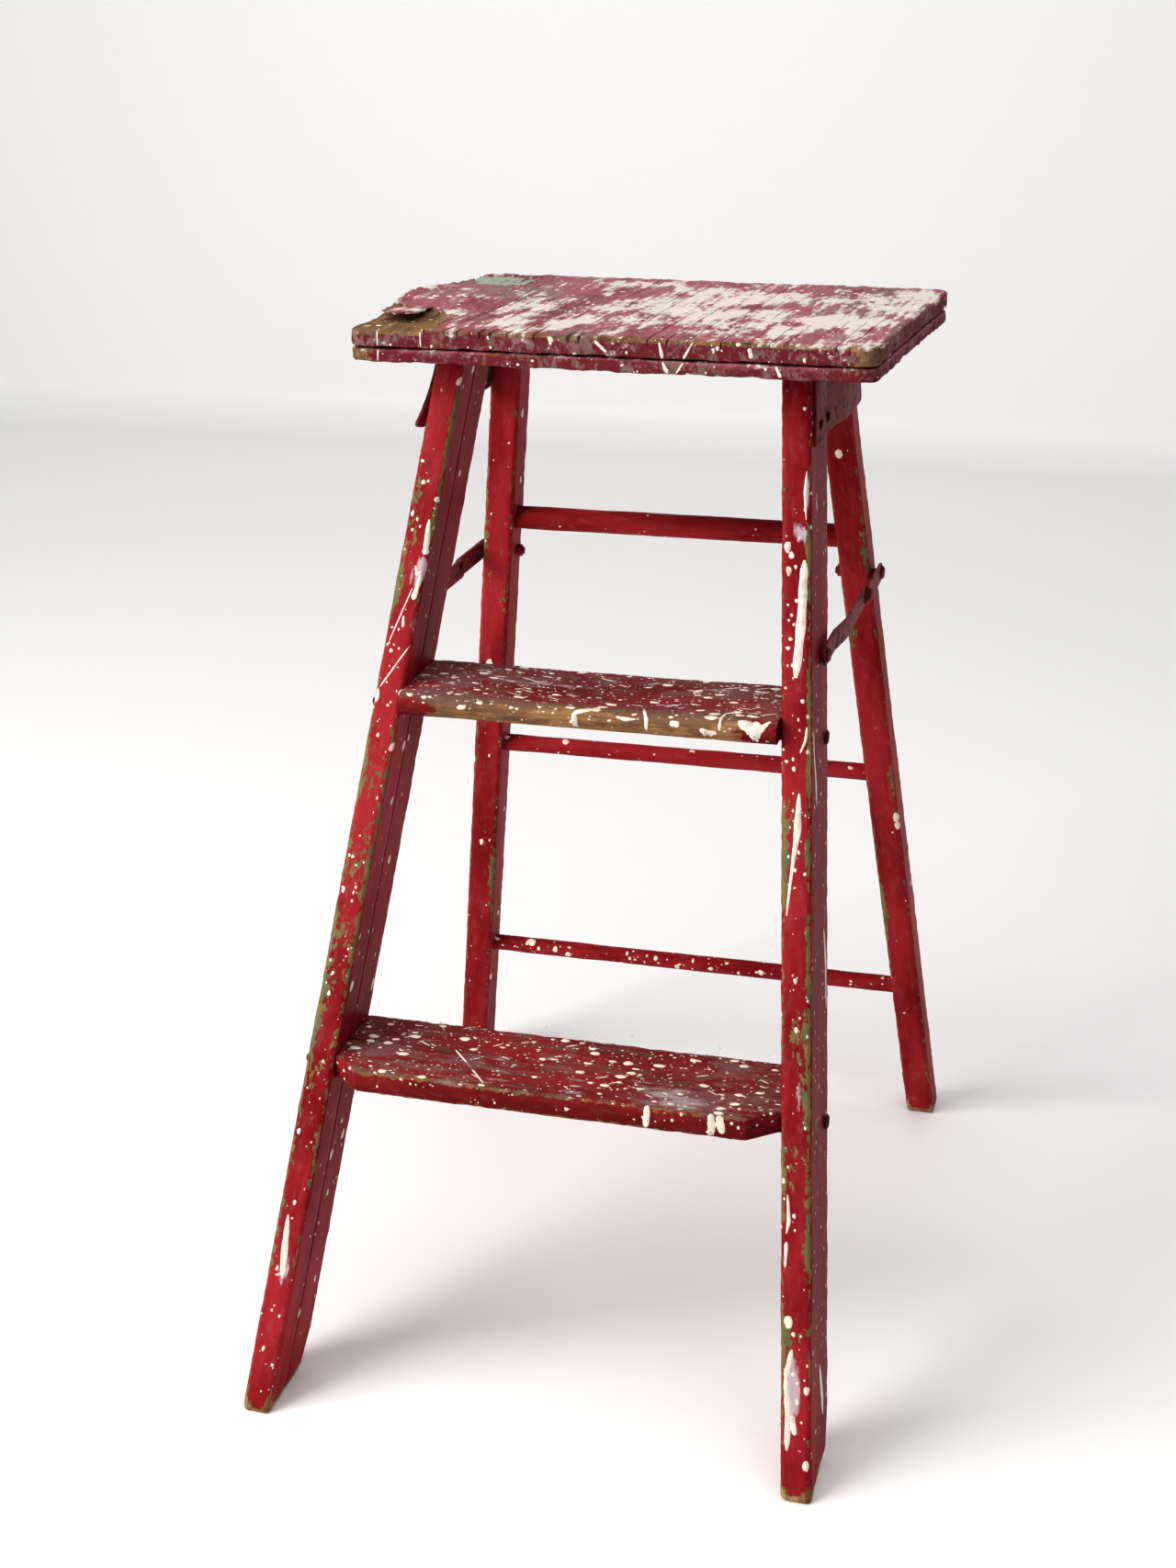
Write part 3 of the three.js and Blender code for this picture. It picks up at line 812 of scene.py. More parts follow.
@dataclass
class Post:
    """A stile or a rear leg: a leaning post with worn chamfers."""

    node: str
    body: str
    side: Side
    half_foot: float
    splay: float
    front: float
    rake: float
    thick: float
    depth: float
    neighbours: tuple[str, ...]
    wear: Wear
    grooved: bool = False
    heel: float = 0.0
    chamfer: float = 3.2 * MM
    seed: float = 0.0

    def upright(self, at: np.ndarray) -> np.ndarray:
        """Stands the leaning points upright.

        Args:
            at: the points, a row each.
        Returns:
            How far each is across from the outer face, back from the front face, and up.
        """
        outer = self.half_foot - self.splay * at[:, 2]
        return np.column_stack((outer - self.side.value * at[:, 0],
                                at[:, 1] - self.front - self.rake * at[:, 2], at[:, 2]))

    def front_face(self) -> "Face":
        """The front face: across it from the outer edge inwards, and up it by height."""
        sign = self.side.value
        return Face(Vector((sign * self.half_foot, self.front, 0)), Vector((-sign, 0, 0)),
                    Vector((-sign * self.splay, self.rake, 1)), Vector((0, -1, self.rake)).normalized())

    def outer_face(self) -> "Face":
        """The outer face: across it from the front edge backwards, and up it by height."""
        sign = self.side.value
        return Face(Vector((sign * self.half_foot, self.front, 0)), Vector((0, 1, 0)),
                    Vector((-sign * self.splay, self.rake, 1)), Vector((sign, 0, self.splay)).normalized())

    def groove(self, low: float, high: float) -> bpy.types.Object:
        """A thin leaning block that cuts the old saw kerf down the inner face.

        Args:
            low: not used.
            high: the height of its top.
        Returns:
            The block.
        """
        inner = self.side.value * (self.half_foot - self.thick)
        xs = sorted((inner + self.side.value * 1.3 * MM, inner - self.side.value * 6 * MM))
        back = self.front + 0.42 * self.depth
        tool = block("groove", Vector((xs[0], back, 0)), Vector((xs[1], back + 2 * MM, high + 5 * MM)))
        with Bench(tool) as bench:
            bench.faces(lambda at, normal: normal.z > 0.9)
            rise = high + 5 * MM
            bpy.ops.transform.translate(value=(-self.side.value * self.splay * rise, self.rake * rise, 0))
        return tool

    def build(self) -> bpy.types.Object:
        """Saws, leans, chamfers and wears the post.

        Returns:
            The post's mesh.
        """
        low, high = (corner.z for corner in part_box(self.node))
        run = high - low
        xs = sorted(self.side.value * x for x in (self.half_foot, self.half_foot - self.thick))
        piece = block(f"worn_{self.node}", Vector((xs[0], self.front, low)),
                      Vector((xs[1], self.front + self.depth, high)))
        with Bench(piece) as bench:
            bench.faces(lambda at, normal: normal.z > 0.9)
            bpy.ops.transform.translate(value=(-self.side.value * self.splay * run, self.rake * run, 0))
            bench.edges(lambda at, along: abs(along.z) > 0.5 * run)
            bpy.ops.mesh.bevel(offset=self.chamfer, segments=2, profile=0.35)
            if self.heel:
                bench.trim(Vector((0, self.front + self.depth - self.heel, low)), Vector((0, 1, -0.8)))
            bench.edges(lambda at, along: at.z < low + MM)
            bpy.ops.mesh.bevel(offset=(4.5 if self.heel else 2.5) * MM, segments=3)
            for back in np.arange(4.5 * MM, self.depth - MM, 4.5 * MM):
                bench.score(Vector((0, self.front + back, 0)), Vector((0, 1, -self.rake)))
            for inwards in np.arange(5 * MM, self.thick - MM, 5 * MM):
                bench.score(Vector((self.side.value * (self.half_foot - inwards), 0, 0)),
                            Vector((1, 0, self.side.value * self.splay)))
            bench.slice(Fibre.Z, np.arange(low + 7 * MM, high - MM, 4 * MM))
        cut(piece, [copy_of(node, f"room_for_{node}") for node in self.neighbours])
        if self.grooved:
            cut(piece, [self.groove(low, high)])
        at = self.upright(places(piece))
        edge = edge_closeness(at, (0, 0, low), (self.thick, self.depth, high), EDGE_REACH)
        roughen(piece, 34 * MM, 1.0 * MM)
        roughen(piece, 9 * MM, -2.4 * MM, edge**1.5, middle=0.42)
        self.finish(piece, low, high)
        return piece

    def finish(self, piece: bpy.types.Object, low: float, high: float) -> None:
        """Marks where the paint is worn and spattered and where shade is painted, and hands the post over.

        Args:
            piece: the post's mesh.
            low: the height of its foot.
            high: the height of its top.
        """
        at = self.upright(places(piece))
        edge = edge_closeness(at, (0, 0, low), (self.thick, self.depth, high), EDGE_REACH)
        foot = np.clip(1 - (at[:, 2] - low) / (26 * MM), 0, 1)
        mark(piece, grain=along_grain(at, Fibre.Z, self.seed), edge=edge,
             rub=np.clip(patches(at, self.wear.rubbed) + 0.75 * foot**2, 0, 1),
             under=patches(at, self.wear.green), dark=patches(at, self.wear.dark),
             drops=np.full(len(at), self.wear.drops), dust=np.full(len(at), 0.14),
             smear=patches(at, self.wear.smeared))
        smooth(piece)
        fit(piece, self.body, RED_WOOD, self.node)


@dataclass
class Step:
    """A step: housed in the stiles, with a nose worn by feet."""

    node: str
    clip: tuple[float, float]
    housing: float
    nose_round: float
    dish: float
    shoulder: float
    rubbed: float
    seed: float
    smeared: tuple[Spot, ...] = ()
    film: float = 0.34

    def nose_face(self) -> "Face":
        """The nose seen from between its front and its tread: back over the tread or down the front."""
        low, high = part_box(self.node)
        return Face(Vector((0, low.y, high.z)), Vector((1, 0, 0)), Vector((0, 0.5, 0.5)),
                    Vector((0, -1, 1)).normalized())

    def tread_face(self) -> "Face":
        """The tread, backwards from its nose."""
        low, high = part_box(self.node)
        return Face(Vector((0, low.y, high.z)), Vector((1, 0, 0)), Vector((0, 1, 0)), Vector((0, 0, 1)))

    def build(self) -> bpy.types.Object:
        """Saws the board, clips its corners, rounds its nose and dishes its tread.

        Returns:
            The step's mesh.
        """
        low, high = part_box(self.node)
        piece = block(f"worn_{self.node}", Vector((-self.shoulder, low.y, low.z)),
                      Vector((self.shoulder, high.y, high.z)))
        with Bench(piece) as bench:
            bench.slice(Fibre.Y, [low.y + self.housing])
            bench.faces(lambda at, normal: abs(normal.x) > 0.9 and at.y > low.y + self.housing)
            bpy.ops.mesh.extrude_region_shrink_fatten(
                TRANSFORM_OT_shrink_fatten={"value": high.x - self.shoulder, "use_even_offset": True})
            for sign in (-1, 1):
                corner = Vector((sign * (self.shoulder - self.clip[0]), low.y, 0))
                run = Vector((sign * self.clip[0], self.clip[1], 0))
                bench.trim(corner, Vector((run.y, -run.x, 0)) * sign)
            bench.edges(lambda at, along: at.y < low.y + self.clip[1] + MM and abs(along.z) < MM
                        and at.y < low.y + self.housing - MM and abs(along.x) > MM)
            bpy.ops.mesh.bevel(offset=self.nose_round, segments=6)
            bench.slice(Fibre.X, np.arange(low.x + 2 * MM, high.x, 3.6 * MM))
            bench.slice(Fibre.Y, np.arange(low.y + self.nose_round + 2 * MM, high.y, 3.6 * MM))
            bench.slice(Fibre.Z, np.linspace(low.z, high.z, 5)[1:-1])
        at = places(piece)
        on_top = np.clip((at[:, 2] - low.z) / (high.z - low.z), 0, 1) ** 2
        hollow = np.exp(-((at[:, 0] / (0.55 * high.x)) ** 4))
        hollow *= np.exp(-(((at[:, 1] - low.y - 42 * MM) / (46 * MM)) ** 2))
        at[:, 2] -= self.dish * on_top * hollow
        put_back(piece, at)
        edge = edge_closeness(at, low, high, EDGE_REACH)
        roughen(piece, 40 * MM, 1.2 * MM)
        roughen(piece, 10 * MM, -2.2 * MM, edge**1.5, middle=0.42)
        self.finish(piece, low, high)
        return piece

    def finish(self, piece: bpy.types.Object, low: Vector, high: Vector) -> None:
        """Marks where feet have worn the paint and paints shade on its front and underside, and hands the
        step over.

        Args:
            piece: the step's mesh.
            low: its lowest corner.
            high: its highest corner.
        """
        at = places(piece)
        edge = edge_closeness(at, low, high, EDGE_REACH)
        back = at[:, 1] - low.y
        ends = np.clip((self.shoulder - 10 * MM - np.abs(at[:, 0])) / (35 * MM), 0, 1)
        nose = self.rubbed * np.exp(-((back / (17 * MM)) ** 2)) * ends
        upper = np.clip((at[:, 2] - low.z) / (high.z - low.z), 0, 1)
        mark(piece, grain=along_grain(at, Fibre.X, self.seed), edge=edge, rub=nose * (0.35 + 0.65 * upper),
             under=0.35 * nose, drops=0.3 + 0.65 * upper**3, dust=0.12 + self.film * upper**4,
             # Painted shade: the front and underside are pushed to the deeper red, less towards the tread.
             grime=0.5 * upper**4 + 0.42 * nose, dark=np.clip(1 - 1.6 * upper, 0, 0.35),
             smear=0.2 * upper**4 + patches(at, self.smeared))
        smooth(piece)
        fit(piece, FRONT, STEP_WOOD, self.node)


@dataclass
class TopBoard:
    """One of the two thin boards that make the top."""

    node: str
    seed: float
    width: float = 442 * MM
    depth: float = 338 * MM
    middle: tuple[float, float] = (8 * MM, 120.25 * MM)
    turn: float = math.radians(-2)
    corner: float = 15 * MM
    cracks: int = 0
    front_notches: tuple[float, ...] = ()
    torn: tuple[tuple[tuple[float, float], ...], ...] = ()
    minty: tuple[tuple[float, float], ...] = ()
    pale: tuple[Spot, ...] = ()
    dirty: tuple[Spot, ...] = ()
    rubbed: tuple[Spot, ...] = ()
    bulge: float = 0.0

    @property
    def place(self) -> Matrix:
        """Where the board lies, from its own middle to the ladder."""
        return Matrix.Translation((*self.middle, 0)) @ Matrix.Rotation(self.turn, 4, "Z")

    def top_face(self) -> "Face":
        """The board's top, from its middle rightwards and backwards.

        Returns:
            The face.
        """
        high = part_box(self.node)[1].z
        turned = self.place.to_3x3()
        return Face(self.place @ Vector((0, 0, high)), turned @ Vector((1, 0, 0)), turned @ Vector((0, 1, 0)),
                    Vector((0, 0, 1)))

    def front_face(self) -> "Face":
        """The board's front edge, from its middle rightwards and from its top up.

        Returns:
            The face.
        """
        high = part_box(self.node)[1].z
        turned = self.place.to_3x3()
        return Face(self.place @ Vector((0, -self.depth / 2, high)), turned @ Vector((1, 0, 0)),
                    Vector((0, 0, 1)), turned @ Vector((0, -1, 0)))

    def build(self) -> bpy.types.Object:
        """Saws the board, rounds its corners, tears its top layer and wears its edges.

        Returns:
            The board's mesh.
        """
        low, high = (corner.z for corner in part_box(self.node))
        x, y = self.width / 2, self.depth / 2
        piece = block(f"worn_{self.node}", Vector((-x, -y, low)), Vector((x, y, high)))
        with Bench(piece) as bench:
            bench.edges(lambda at, along: abs(along.z) > MM)
            bpy.ops.mesh.bevel(offset=self.corner, segments=5)
            bench.edges(lambda at, along: abs(along.z) < 0.1 * MM)
            bpy.ops.mesh.bevel(offset=1.6 * MM, segments=2)
            bench.slice(Fibre.X, self.grid_lines())
            bench.slice(Fibre.Y, np.arange(-y + 4 * MM, y, (2.6 if self.torn else 4) * MM))
            bench.slice(Fibre.Z, np.linspace(low, high, 5)[1:-1])
        self.wear_top(piece, low, high)
        at = places(piece)
        edge = edge_closeness(at, (-x, -y, low), (x, y, high), 12 * MM)
        roughen(piece, 45 * MM, 1.4 * MM, direction="Z")
        roughen(piece, 26 * MM, 2.2 * MM, direction="X")
        roughen(piece, 11 * MM, -3.2 * MM, edge**1.5, middle=0.4)
        self.finish(piece, low, high)
        return piece

    def grid_lines(self) -> list[float]:
        """Where the board is sliced along its grain.

        Returns:
            Both sides and the middle of each crack, and even places between them, but for one beside the
            torn corner, where a strip stays whole.
        """
        lines = [x + k * wide / 2 for x, _, wide, _ in self.splits() for k in (-1, 0, 1)]
        left = -self.width / 2
        for x in np.arange(left + 4 * MM, -left, (2.4 if self.torn else 3.6) * MM):
            if all(abs(x - other) > 1.6 * MM for other in lines) and not 78 * MM <= x - left <= 80 * MM:
                lines.append(x)
        return sorted(lines)

    @staticmethod
    def inside(at: np.ndarray, outline: Sequence[tuple[float, float]], soft: float = 0.0) -> np.ndarray:
        """Which points stand inside an outline given in millimetres, seen from above.

        Args:
            at: the points, a row each.
            outline: the outline's corners.
            soft: how far the outline wanders, in metres.
        Returns:
            1 inside and 0 outside.
        """
        wander = soft * np.sin(at[:, 0] * 900 + 3 * np.sin(at[:, 1] * 700))
        x, y = at[:, 0] + wander, at[:, 1] + wander
        found = np.zeros(len(at), bool)
        for (x0, y0), (x1, y1) in zip(outline, (*outline[1:], outline[0])):
            crosses = (y0 * MM > y) != (y1 * MM > y)
            with np.errstate(divide="ignore", invalid="ignore"):
                found ^= crosses & (x < (x0 + (x1 - x0) * (y / MM - y0) / (y1 - y0)) * MM)
        return found.astype(float)

    def tears(self, at: np.ndarray) -> np.ndarray:
        """Where the top layer has torn off.

        Args:
            at: the points, a row each.
        Returns:
            1 where it is torn and 0 elsewhere.
        """
        total = np.zeros(len(at))
        for outline in self.torn:
            total = np.maximum(total, self.inside(at, outline, 2 * MM))
        return total

    def wear_top(self, piece: bpy.types.Object, low: float, high: float) -> None:
        """Sinks the torn places, swells the left edge and pulls two corners out of square.

        Args:
            piece: the board's mesh.
            low: the height of its underside.
            high: the height of its top.
        """
        at = places(piece)
        upper = np.clip((at[:, 2] - low) / (high - low), 0, 1)
        mint = self.inside(at, self.minty, 4 * MM) if self.minty else np.zeros(len(at))
        at[:, 2] -= 2.0 * MM * np.maximum(self.tears(at), mint) * (upper > 0.7)
        depth = self.split_depth(at)
        floor = np.maximum(high - 6.5 * MM * depth, low + MM)
        at[:, 2] = np.where(depth > 0, np.minimum(at[:, 2], floor), at[:, 2])
        right, back = at[:, 0] / self.width + 0.5, at[:, 1] / self.depth + 0.5
        left = np.clip((-at[:, 0] - self.width / 2 + 70 * MM) / (70 * MM), 0, 1) ** 1.5
        swell = self.bulge * left * np.exp(-(((at[:, 1] - 5 * MM) / (75 * MM)) ** 2))
        at[:, 0] += 7 * MM * (right * back) ** 2 - 5 * MM * ((1 - right) * (1 - back)) ** 2 - swell
        at[:, 1] -= 5 * MM * ((1 - right) * (1 - back)) ** 2
        at[:, 2] += 0.62 * swell
        put_back(piece, at)

    def splits(self) -> list[tuple[float, float, float, float]]:
        """The cracks along the grain.

        Returns:
            Where each crosses the board, its middle along the grain, its width and its length.
        """
        draw = random.Random(SEED)
        found = [(x * MM, -self.depth / 2, 3.4 * MM, 44 * MM) for x in self.front_notches]
        for k in range(self.cracks):
            x = (-0.36 + 0.83 * (k + draw.uniform(0.25, 0.75)) / self.cracks) * self.width
            y = draw.choice((-1, -1, -0.4, 0.3, 1)) * (self.depth / 2) * draw.uniform(0.75, 1)
            if all(abs(x - other[0]) > 5 * MM for other in found):
                found.append((x, y, draw.uniform(0.6, 1.4) * MM, draw.uniform(50, 330) * MM))
        return found

    def split_depth(self, at: np.ndarray) -> np.ndarray:
        """How deep the cracks are at each point.

        Args:
            at: the points, a row each.
        Returns:
            The depths, from 0 to 1.
        """
        deep = np.zeros(len(at))
        for x, y, wide, length in self.splits():
            along = np.clip(1 - (np.abs(at[:, 1] - y) / (length / 2)) ** 2, 0, 1)
            deep = np.maximum(deep, along**0.5 * (np.abs(at[:, 0] - x) < 0.2 * wide))
        return deep

    def finish(self, piece: bpy.types.Object, low: float, high: float) -> None:
        """Marks the wear and the painted shade on its edges and underside, turns the board to its place and
        hands it over.

        Args:
            piece: the board's mesh.
            low: the height of its underside.
            high: the height of its top.
        """
        x, y = self.width / 2, self.depth / 2
        at = places(piece)
        edge = edge_closeness(at, (-x, -y, low), (x, y, high), 12 * MM)
        upper = np.clip((at[:, 2] - low) / (high - low), 0, 1) ** 4
        torn = self.tears(at) * (upper > 0.3)
        mint = (self.inside(at, self.minty, 4 * MM) if self.minty else 0.0) * (upper > 0.3)
        front_line = np.exp(-(((at[:, 1] + y) / (2.4 * MM)) ** 2)) * (upper > 0.45) * bool(self.torn)
        mark(piece, grain=along_grain(at, Fibre.Y, self.seed), edge=0.6 * edge,
             rub=np.clip(0.2 * edge + 1.1 * torn + 0.75 * front_line + patches(at, self.rubbed), 0, 1.2),
             # Painted shade pushes the board's edges and underside to the deeper red.
             drops=0.12 + 0.4 * upper, smear=0.75 * mint, dark=1 - 1.4 * upper,
             grime=(0.4 + patches(at, self.dirty)) * upper + 0.42 * (1 - upper),
             dust=((0.42 + patches(at, self.pale)) * upper + 0.2 * (1 - upper)) * (1 - torn))
        piece.data.transform(self.place)
        smooth(piece)
        fit(piece, FRONT, TOP_WOOD, self.node)


@dataclass
class Flake:
    """The loose tongue of veneer that curls up at the top's left front corner."""

    board: TopBoard
    tip: tuple[float, float] = (-196.0, -132.0)
    root: tuple[float, float] = (-212.0, -42.0)
    wide: float = 35.0
    lift: float = 5.5

    def build(self) -> None:
        """Cuts the tongue from a thin sheet, curls it up and lays it on the board."""
        bpy.ops.mesh.primitive_grid_add(x_subdivisions=14, y_subdivisions=34, size=1)
        piece = bpy.context.object
        piece.name = piece.data.name = "curled_veneer"
        at = places(piece)
        across, back = at[:, 0] * 2, at[:, 1] + 0.5
        half = 0.5 * self.wide * np.clip(back / 0.16, 0.02, 1) ** 0.5 * (1 + 0.08 * np.sin(back * 19))
        x = self.tip[0] + (self.root[0] - self.tip[0]) * back + across * half
        y = self.tip[1] + (self.root[1] - self.tip[1]) * back + 1.5 * np.sin(across * 4)
        rise = self.lift * (1 - back) ** 2 + 1.2 * across**2 * (1 - back) + 1.5 * np.sin(3.14 * back)
        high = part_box(self.board.node)[1].z / MM
        put_back(piece, np.column_stack((x, y, high + rise)) * MM)
        sheet = piece.modifiers.new("sheet", "SOLIDIFY")
        sheet.thickness = 1.3 * MM
        sheet.offset = 0
        finish_modifier(piece, sheet)
        at = places(piece)
        upper = np.full(len(at), 0.45)
        mark(piece, grain=along_grain(at, Fibre.Y, 2.2), edge=np.full(len(at), 0.2), rub=np.zeros(len(at)),
             drops=np.full(len(at), 0.5), dust=upper, grime=0.5 * upper, dark=np.zeros(len(at)))
        piece.data.transform(self.board.place)
        smooth(piece, 50)
        fit(piece, FRONT, TOP_WOOD)


@dataclass
class Rung:
    """A round rung of the rear frame."""

    node: str
    seed: float
    drops: float = 0.3
    sides: int = 28

    def build(self) -> bpy.types.Object:
        """Turns the dowel and wears it.

        Returns:
            The rung's mesh.
        """
        low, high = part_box(self.node)
        radius = (high.z - low.z) / 2
        bpy.ops.mesh.primitive_cylinder_add(vertices=self.sides, radius=radius, depth=high.x - low.x,
                                            location=(low + high) / 2, rotation=(0, math.pi / 2, 0))
        piece = bpy.context.object
        piece.name = piece.data.name = f"worn_{self.node}"
        take(piece)
        bpy.ops.object.transform_apply(location=True, rotation=True, scale=True)
        with Bench(piece) as bench:
            for cuts in (9, 9):
                bench.edges(lambda at, along: abs(along.x) > 25 * MM)
                bpy.ops.mesh.subdivide(number_cuts=cuts)
        roughen(piece, 30 * MM, 1.2 * MM)
        at = places(piece)
        mark(piece, grain=along_grain(at, Fibre.X, self.seed), edge=np.full(len(at), 0.25),
             rub=np.zeros(len(at)), under=np.zeros(len(at)), drops=np.full(len(at), self.drops),
             dust=np.full(len(at), 0.1))
        smooth(piece)
        fit(piece, REAR, RED_WOOD, self.node)
        return piece


# ---- Spilt paint ----
@dataclass(frozen=True)
class Face:
    """A face that paint is spilt on: a corner of it, and the ways across, along and out of it."""

    corner: Vector
    across: Vector
    along: Vector
    out: Vector


Line = tuple[tuple[float, float, float], ...]


@dataclass(frozen=True)
class Strewn:
    """Drops strewn over a part of a face, most of them small; in millimetres across and along it."""

    count: int
    low: tuple[float, float]
    high: tuple[float, float]
    largest: float
    stretch: tuple[float, float] = (0.8, 1.5)


@dataclass(frozen=True)
class Splash:
    """All that is spilt on a face at once: runs along lines, single drops and strewn drops."""

    runs: tuple[Line, ...] = ()
    drops: tuple[tuple[float, ...], ...] = ()
    strewn: tuple[Strewn, ...] = ()
    thick: float = 0.3


class Spill:
    """Cream paint spilt on one piece: runs drawn along lines, and drops strewn over its faces."""

    def __init__(self, host: bpy.types.Object, body: str, seed: int) -> None:
        """Takes the skin of the piece that paint is spilt on.

        Args:
            host: the dressed piece.
            body: the body that it rides on.
            seed: what the chances start from.
        """
        mesh = host.data
        self.host, self.body = host, body
        self.skin = BVHTree.FromPolygons([vertex.co.copy() for vertex in mesh.vertices],
                                         [tuple(face.vertices) for face in mesh.polygons])
        self.draw = random.Random(seed)
        self.pieces: list[bpy.types.Object] = []

    def lay(self, piece: bpy.types.Object, face: Face) -> None:
        """Lays flat paint down on the piece's skin, whatever its dents and curves.

        Args:
            piece: the paint, flat, in metres across and along the face.
            face: the face that it lies on.
        """
        laid = []
        for x, y, z in places(piece):
            spot = face.corner + face.across * x + face.along * y
            hit = self.skin.ray_cast(spot + face.out * 14 * MM, -face.out, 34 * MM)[0]
            laid.append((hit or spot - face.out * 0.6 * MM) + face.out * z)
        put_back(piece, np.array(laid))
        self.pieces.append(piece)

    def run(self, face: Face, line: Line, thick: float) -> None:
        """Pours a run of paint.

        Args:
            face: the face that it lies on.
            line: its points across and along the face with its half width there, in millimetres.
            thick: its thickness as a share of its width.
        """
        bpy.ops.curve.primitive_nurbs_path_add()
        path = bpy.context.object
        path.data.bevel_depth = 1.0
        path.data.bevel_resolution = 1
        path.data.use_fill_caps = True
        spline = path.data.splines[0]
        spline.points.add(6)
        spline.order_u = 3
        spline.resolution_u = 4
        spline.use_endpoint_u = True
        count = len(spline.points)
        shares, marks = np.linspace(0, 1, count), np.linspace(0, 1, len(line))
        across, along, half = (np.interp(shares, marks, column) for column in zip(*line))
        for k, point in enumerate(spline.points):
            swell = (1 + self.draw.uniform(-0.16, 0.16)) * (0.35 if k in (0, count - 1) else 1)
            point.co = (across[k] * MM, along[k] * MM, 0, 1)
            point.radius = half[k] * swell * MM
        take(path)
        bpy.ops.object.convert(target="MESH")
        at = places(path)
        at[:, 2] *= thick
        put_back(path, at)
        self.lay(path, face)

    def drop(self, face: Face, x: float, y: float, radius: float, stretch: float = 1.0) -> None:
        """Lets one drop fall.

        Args:
            face: the face that it lies on.
            x: how far across, in millimetres.
            y: how far along, in millimetres.
            radius: its radius, in millimetres.
            stretch: how much longer it is along the face than across it.
        """
        bpy.ops.mesh.primitive_uv_sphere_add(segments=9, ring_count=6, radius=1)
        piece = bpy.context.object
        at = places(piece)
        uneven = 1 + 0.12 * np.sin(3 * np.arctan2(at[:, 1], at[:, 0]) + x)
        at[:, :2] *= uneven[:, None]
        at *= np.array((radius, radius * stretch, min(0.32 * radius, 0.8))) * MM
        at[:, :2] += np.array((x, y)) * MM
        put_back(piece, at)
        self.lay(piece, face)

    def strew(self, face: Face, part: Strewn) -> None:
        """Strews drops over a part of a face.

        Args:
            face: the face.
            part: how many drops, where, and of what size.
        """
        for _ in range(part.count):
            x, y = (self.draw.uniform(a, b) for a, b in zip(part.low, part.high))
            radius = 0.45 + part.largest * self.draw.random() ** 2.6
            self.drop(face, x, y, radius, self.draw.uniform(*part.stretch))

    def flick(self, face: Face, count: int, low: tuple[float, float], high: tuple[float, float],
              longest: float, lean: float) -> None:
        """Flicks short strokes over a part of a face.

        Args:
            face: the face.
            count: how many strokes.
            low: the part's first corner, across and along, in millimetres.
            high: its other corner.
            longest: the longest stroke, in millimetres.
            lean: the most that a stroke leans, as its rise along the face over its run across it.
        """
        for _ in range(count):
            x, y = self.draw.uniform(low[0], high[0]), self.draw.uniform(low[1], high[1])
            run = self.draw.uniform(3, longest)
            rise = self.draw.uniform(-lean, lean) * run
            self.run(face, ((x, y, 0.5), (x + run / 2, y + rise / 2, 0.8), (x + run, y + rise, 0.4)), 0.25)

    def pour(self, face: Face, splash: Splash) -> None:
        """Spills a splash over a face: its runs, its single drops and its strewn drops.

        Args:
            face: the face.
            splash: what is spilt over it.
        """
        for line in splash.runs:
            self.run(face, line, splash.thick)
        for drop in splash.drops:
            self.drop(face, *drop)
        for part in splash.strewn:
            self.strew(face, part)

    def finish(self) -> None:
        """Joins the paint into one piece and hands it over."""
        piece = join(self.pieces, "cream_on_" + self.host.name.removeprefix("worn_"))
        smooth(piece, 60)
        fit(piece, self.body, CREAM)


# ---- Steel ----
@dataclass
class Hardware:
    """A steel strap or fastener with softened edges, and a screwdriver slot where it has one."""

    node: str
    body: str
    finish: Steel
    soften: float
    slot_axis: int | None = None
    slot_way: int = 1
    bent: float = 0.0

    def build(self) -> None:
        """Softens the piece's edges, cuts its slot and pits it a little."""
        piece = copy_of(self.node, f"worn_{self.node}")
        edges = piece.modifiers.new("soften", "BEVEL")
        edges.width = self.soften
        edges.segments = 2
        edges.limit_method = "ANGLE"
        edges.angle_limit = math.radians(34)
        finish_modifier(piece, edges)
        if self.slot_axis is not None:
            cut(piece, [self.slot()])
        roughen(piece, 9 * MM, 0.25 * MM)
        if self.bent:
            self.bend(piece)
        smooth(piece, 40)
        fit(piece, self.body, self.finish, self.node)

    def bend(self, piece: bpy.types.Object) -> None:
        """Bends a plate's front lower corner away from the wood, towards the left.

        Args:
            piece: the plate's mesh.
        """
        low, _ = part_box(self.node)
        with Bench(piece) as bench:
            bench.slice(Fibre.Y, low.y + np.arange(4, 30, 4) * MM)
        at = places(piece)
        ahead = np.clip(1 - (at[:, 1] - low.y) / (28 * MM), 0, 1)
        down = np.clip(1 - (at[:, 2] - low.z) / (60 * MM), 0, 1)
        at[:, 0] -= self.bent * ahead**2 * (0.25 + 0.75 * down)
        put_back(piece, at)

    def slot(self) -> bpy.types.Object:
        """The blade that cuts the slot across the head.

        Returns:
            The blade.
        """
        low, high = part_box(self.node)
        middle = (low + high) / 2
        half = Vector((0.55, 7, 7) if self.slot_axis else (1, 7, 0.55)) * MM
        if self.slot_axis == 2:
            half = Vector((7, 0.55, 1)) * MM
        tip = high if self.slot_way > 0 else low
        middle[self.slot_axis] = tip[self.slot_axis]
        return block("slot", middle - half, middle + half)


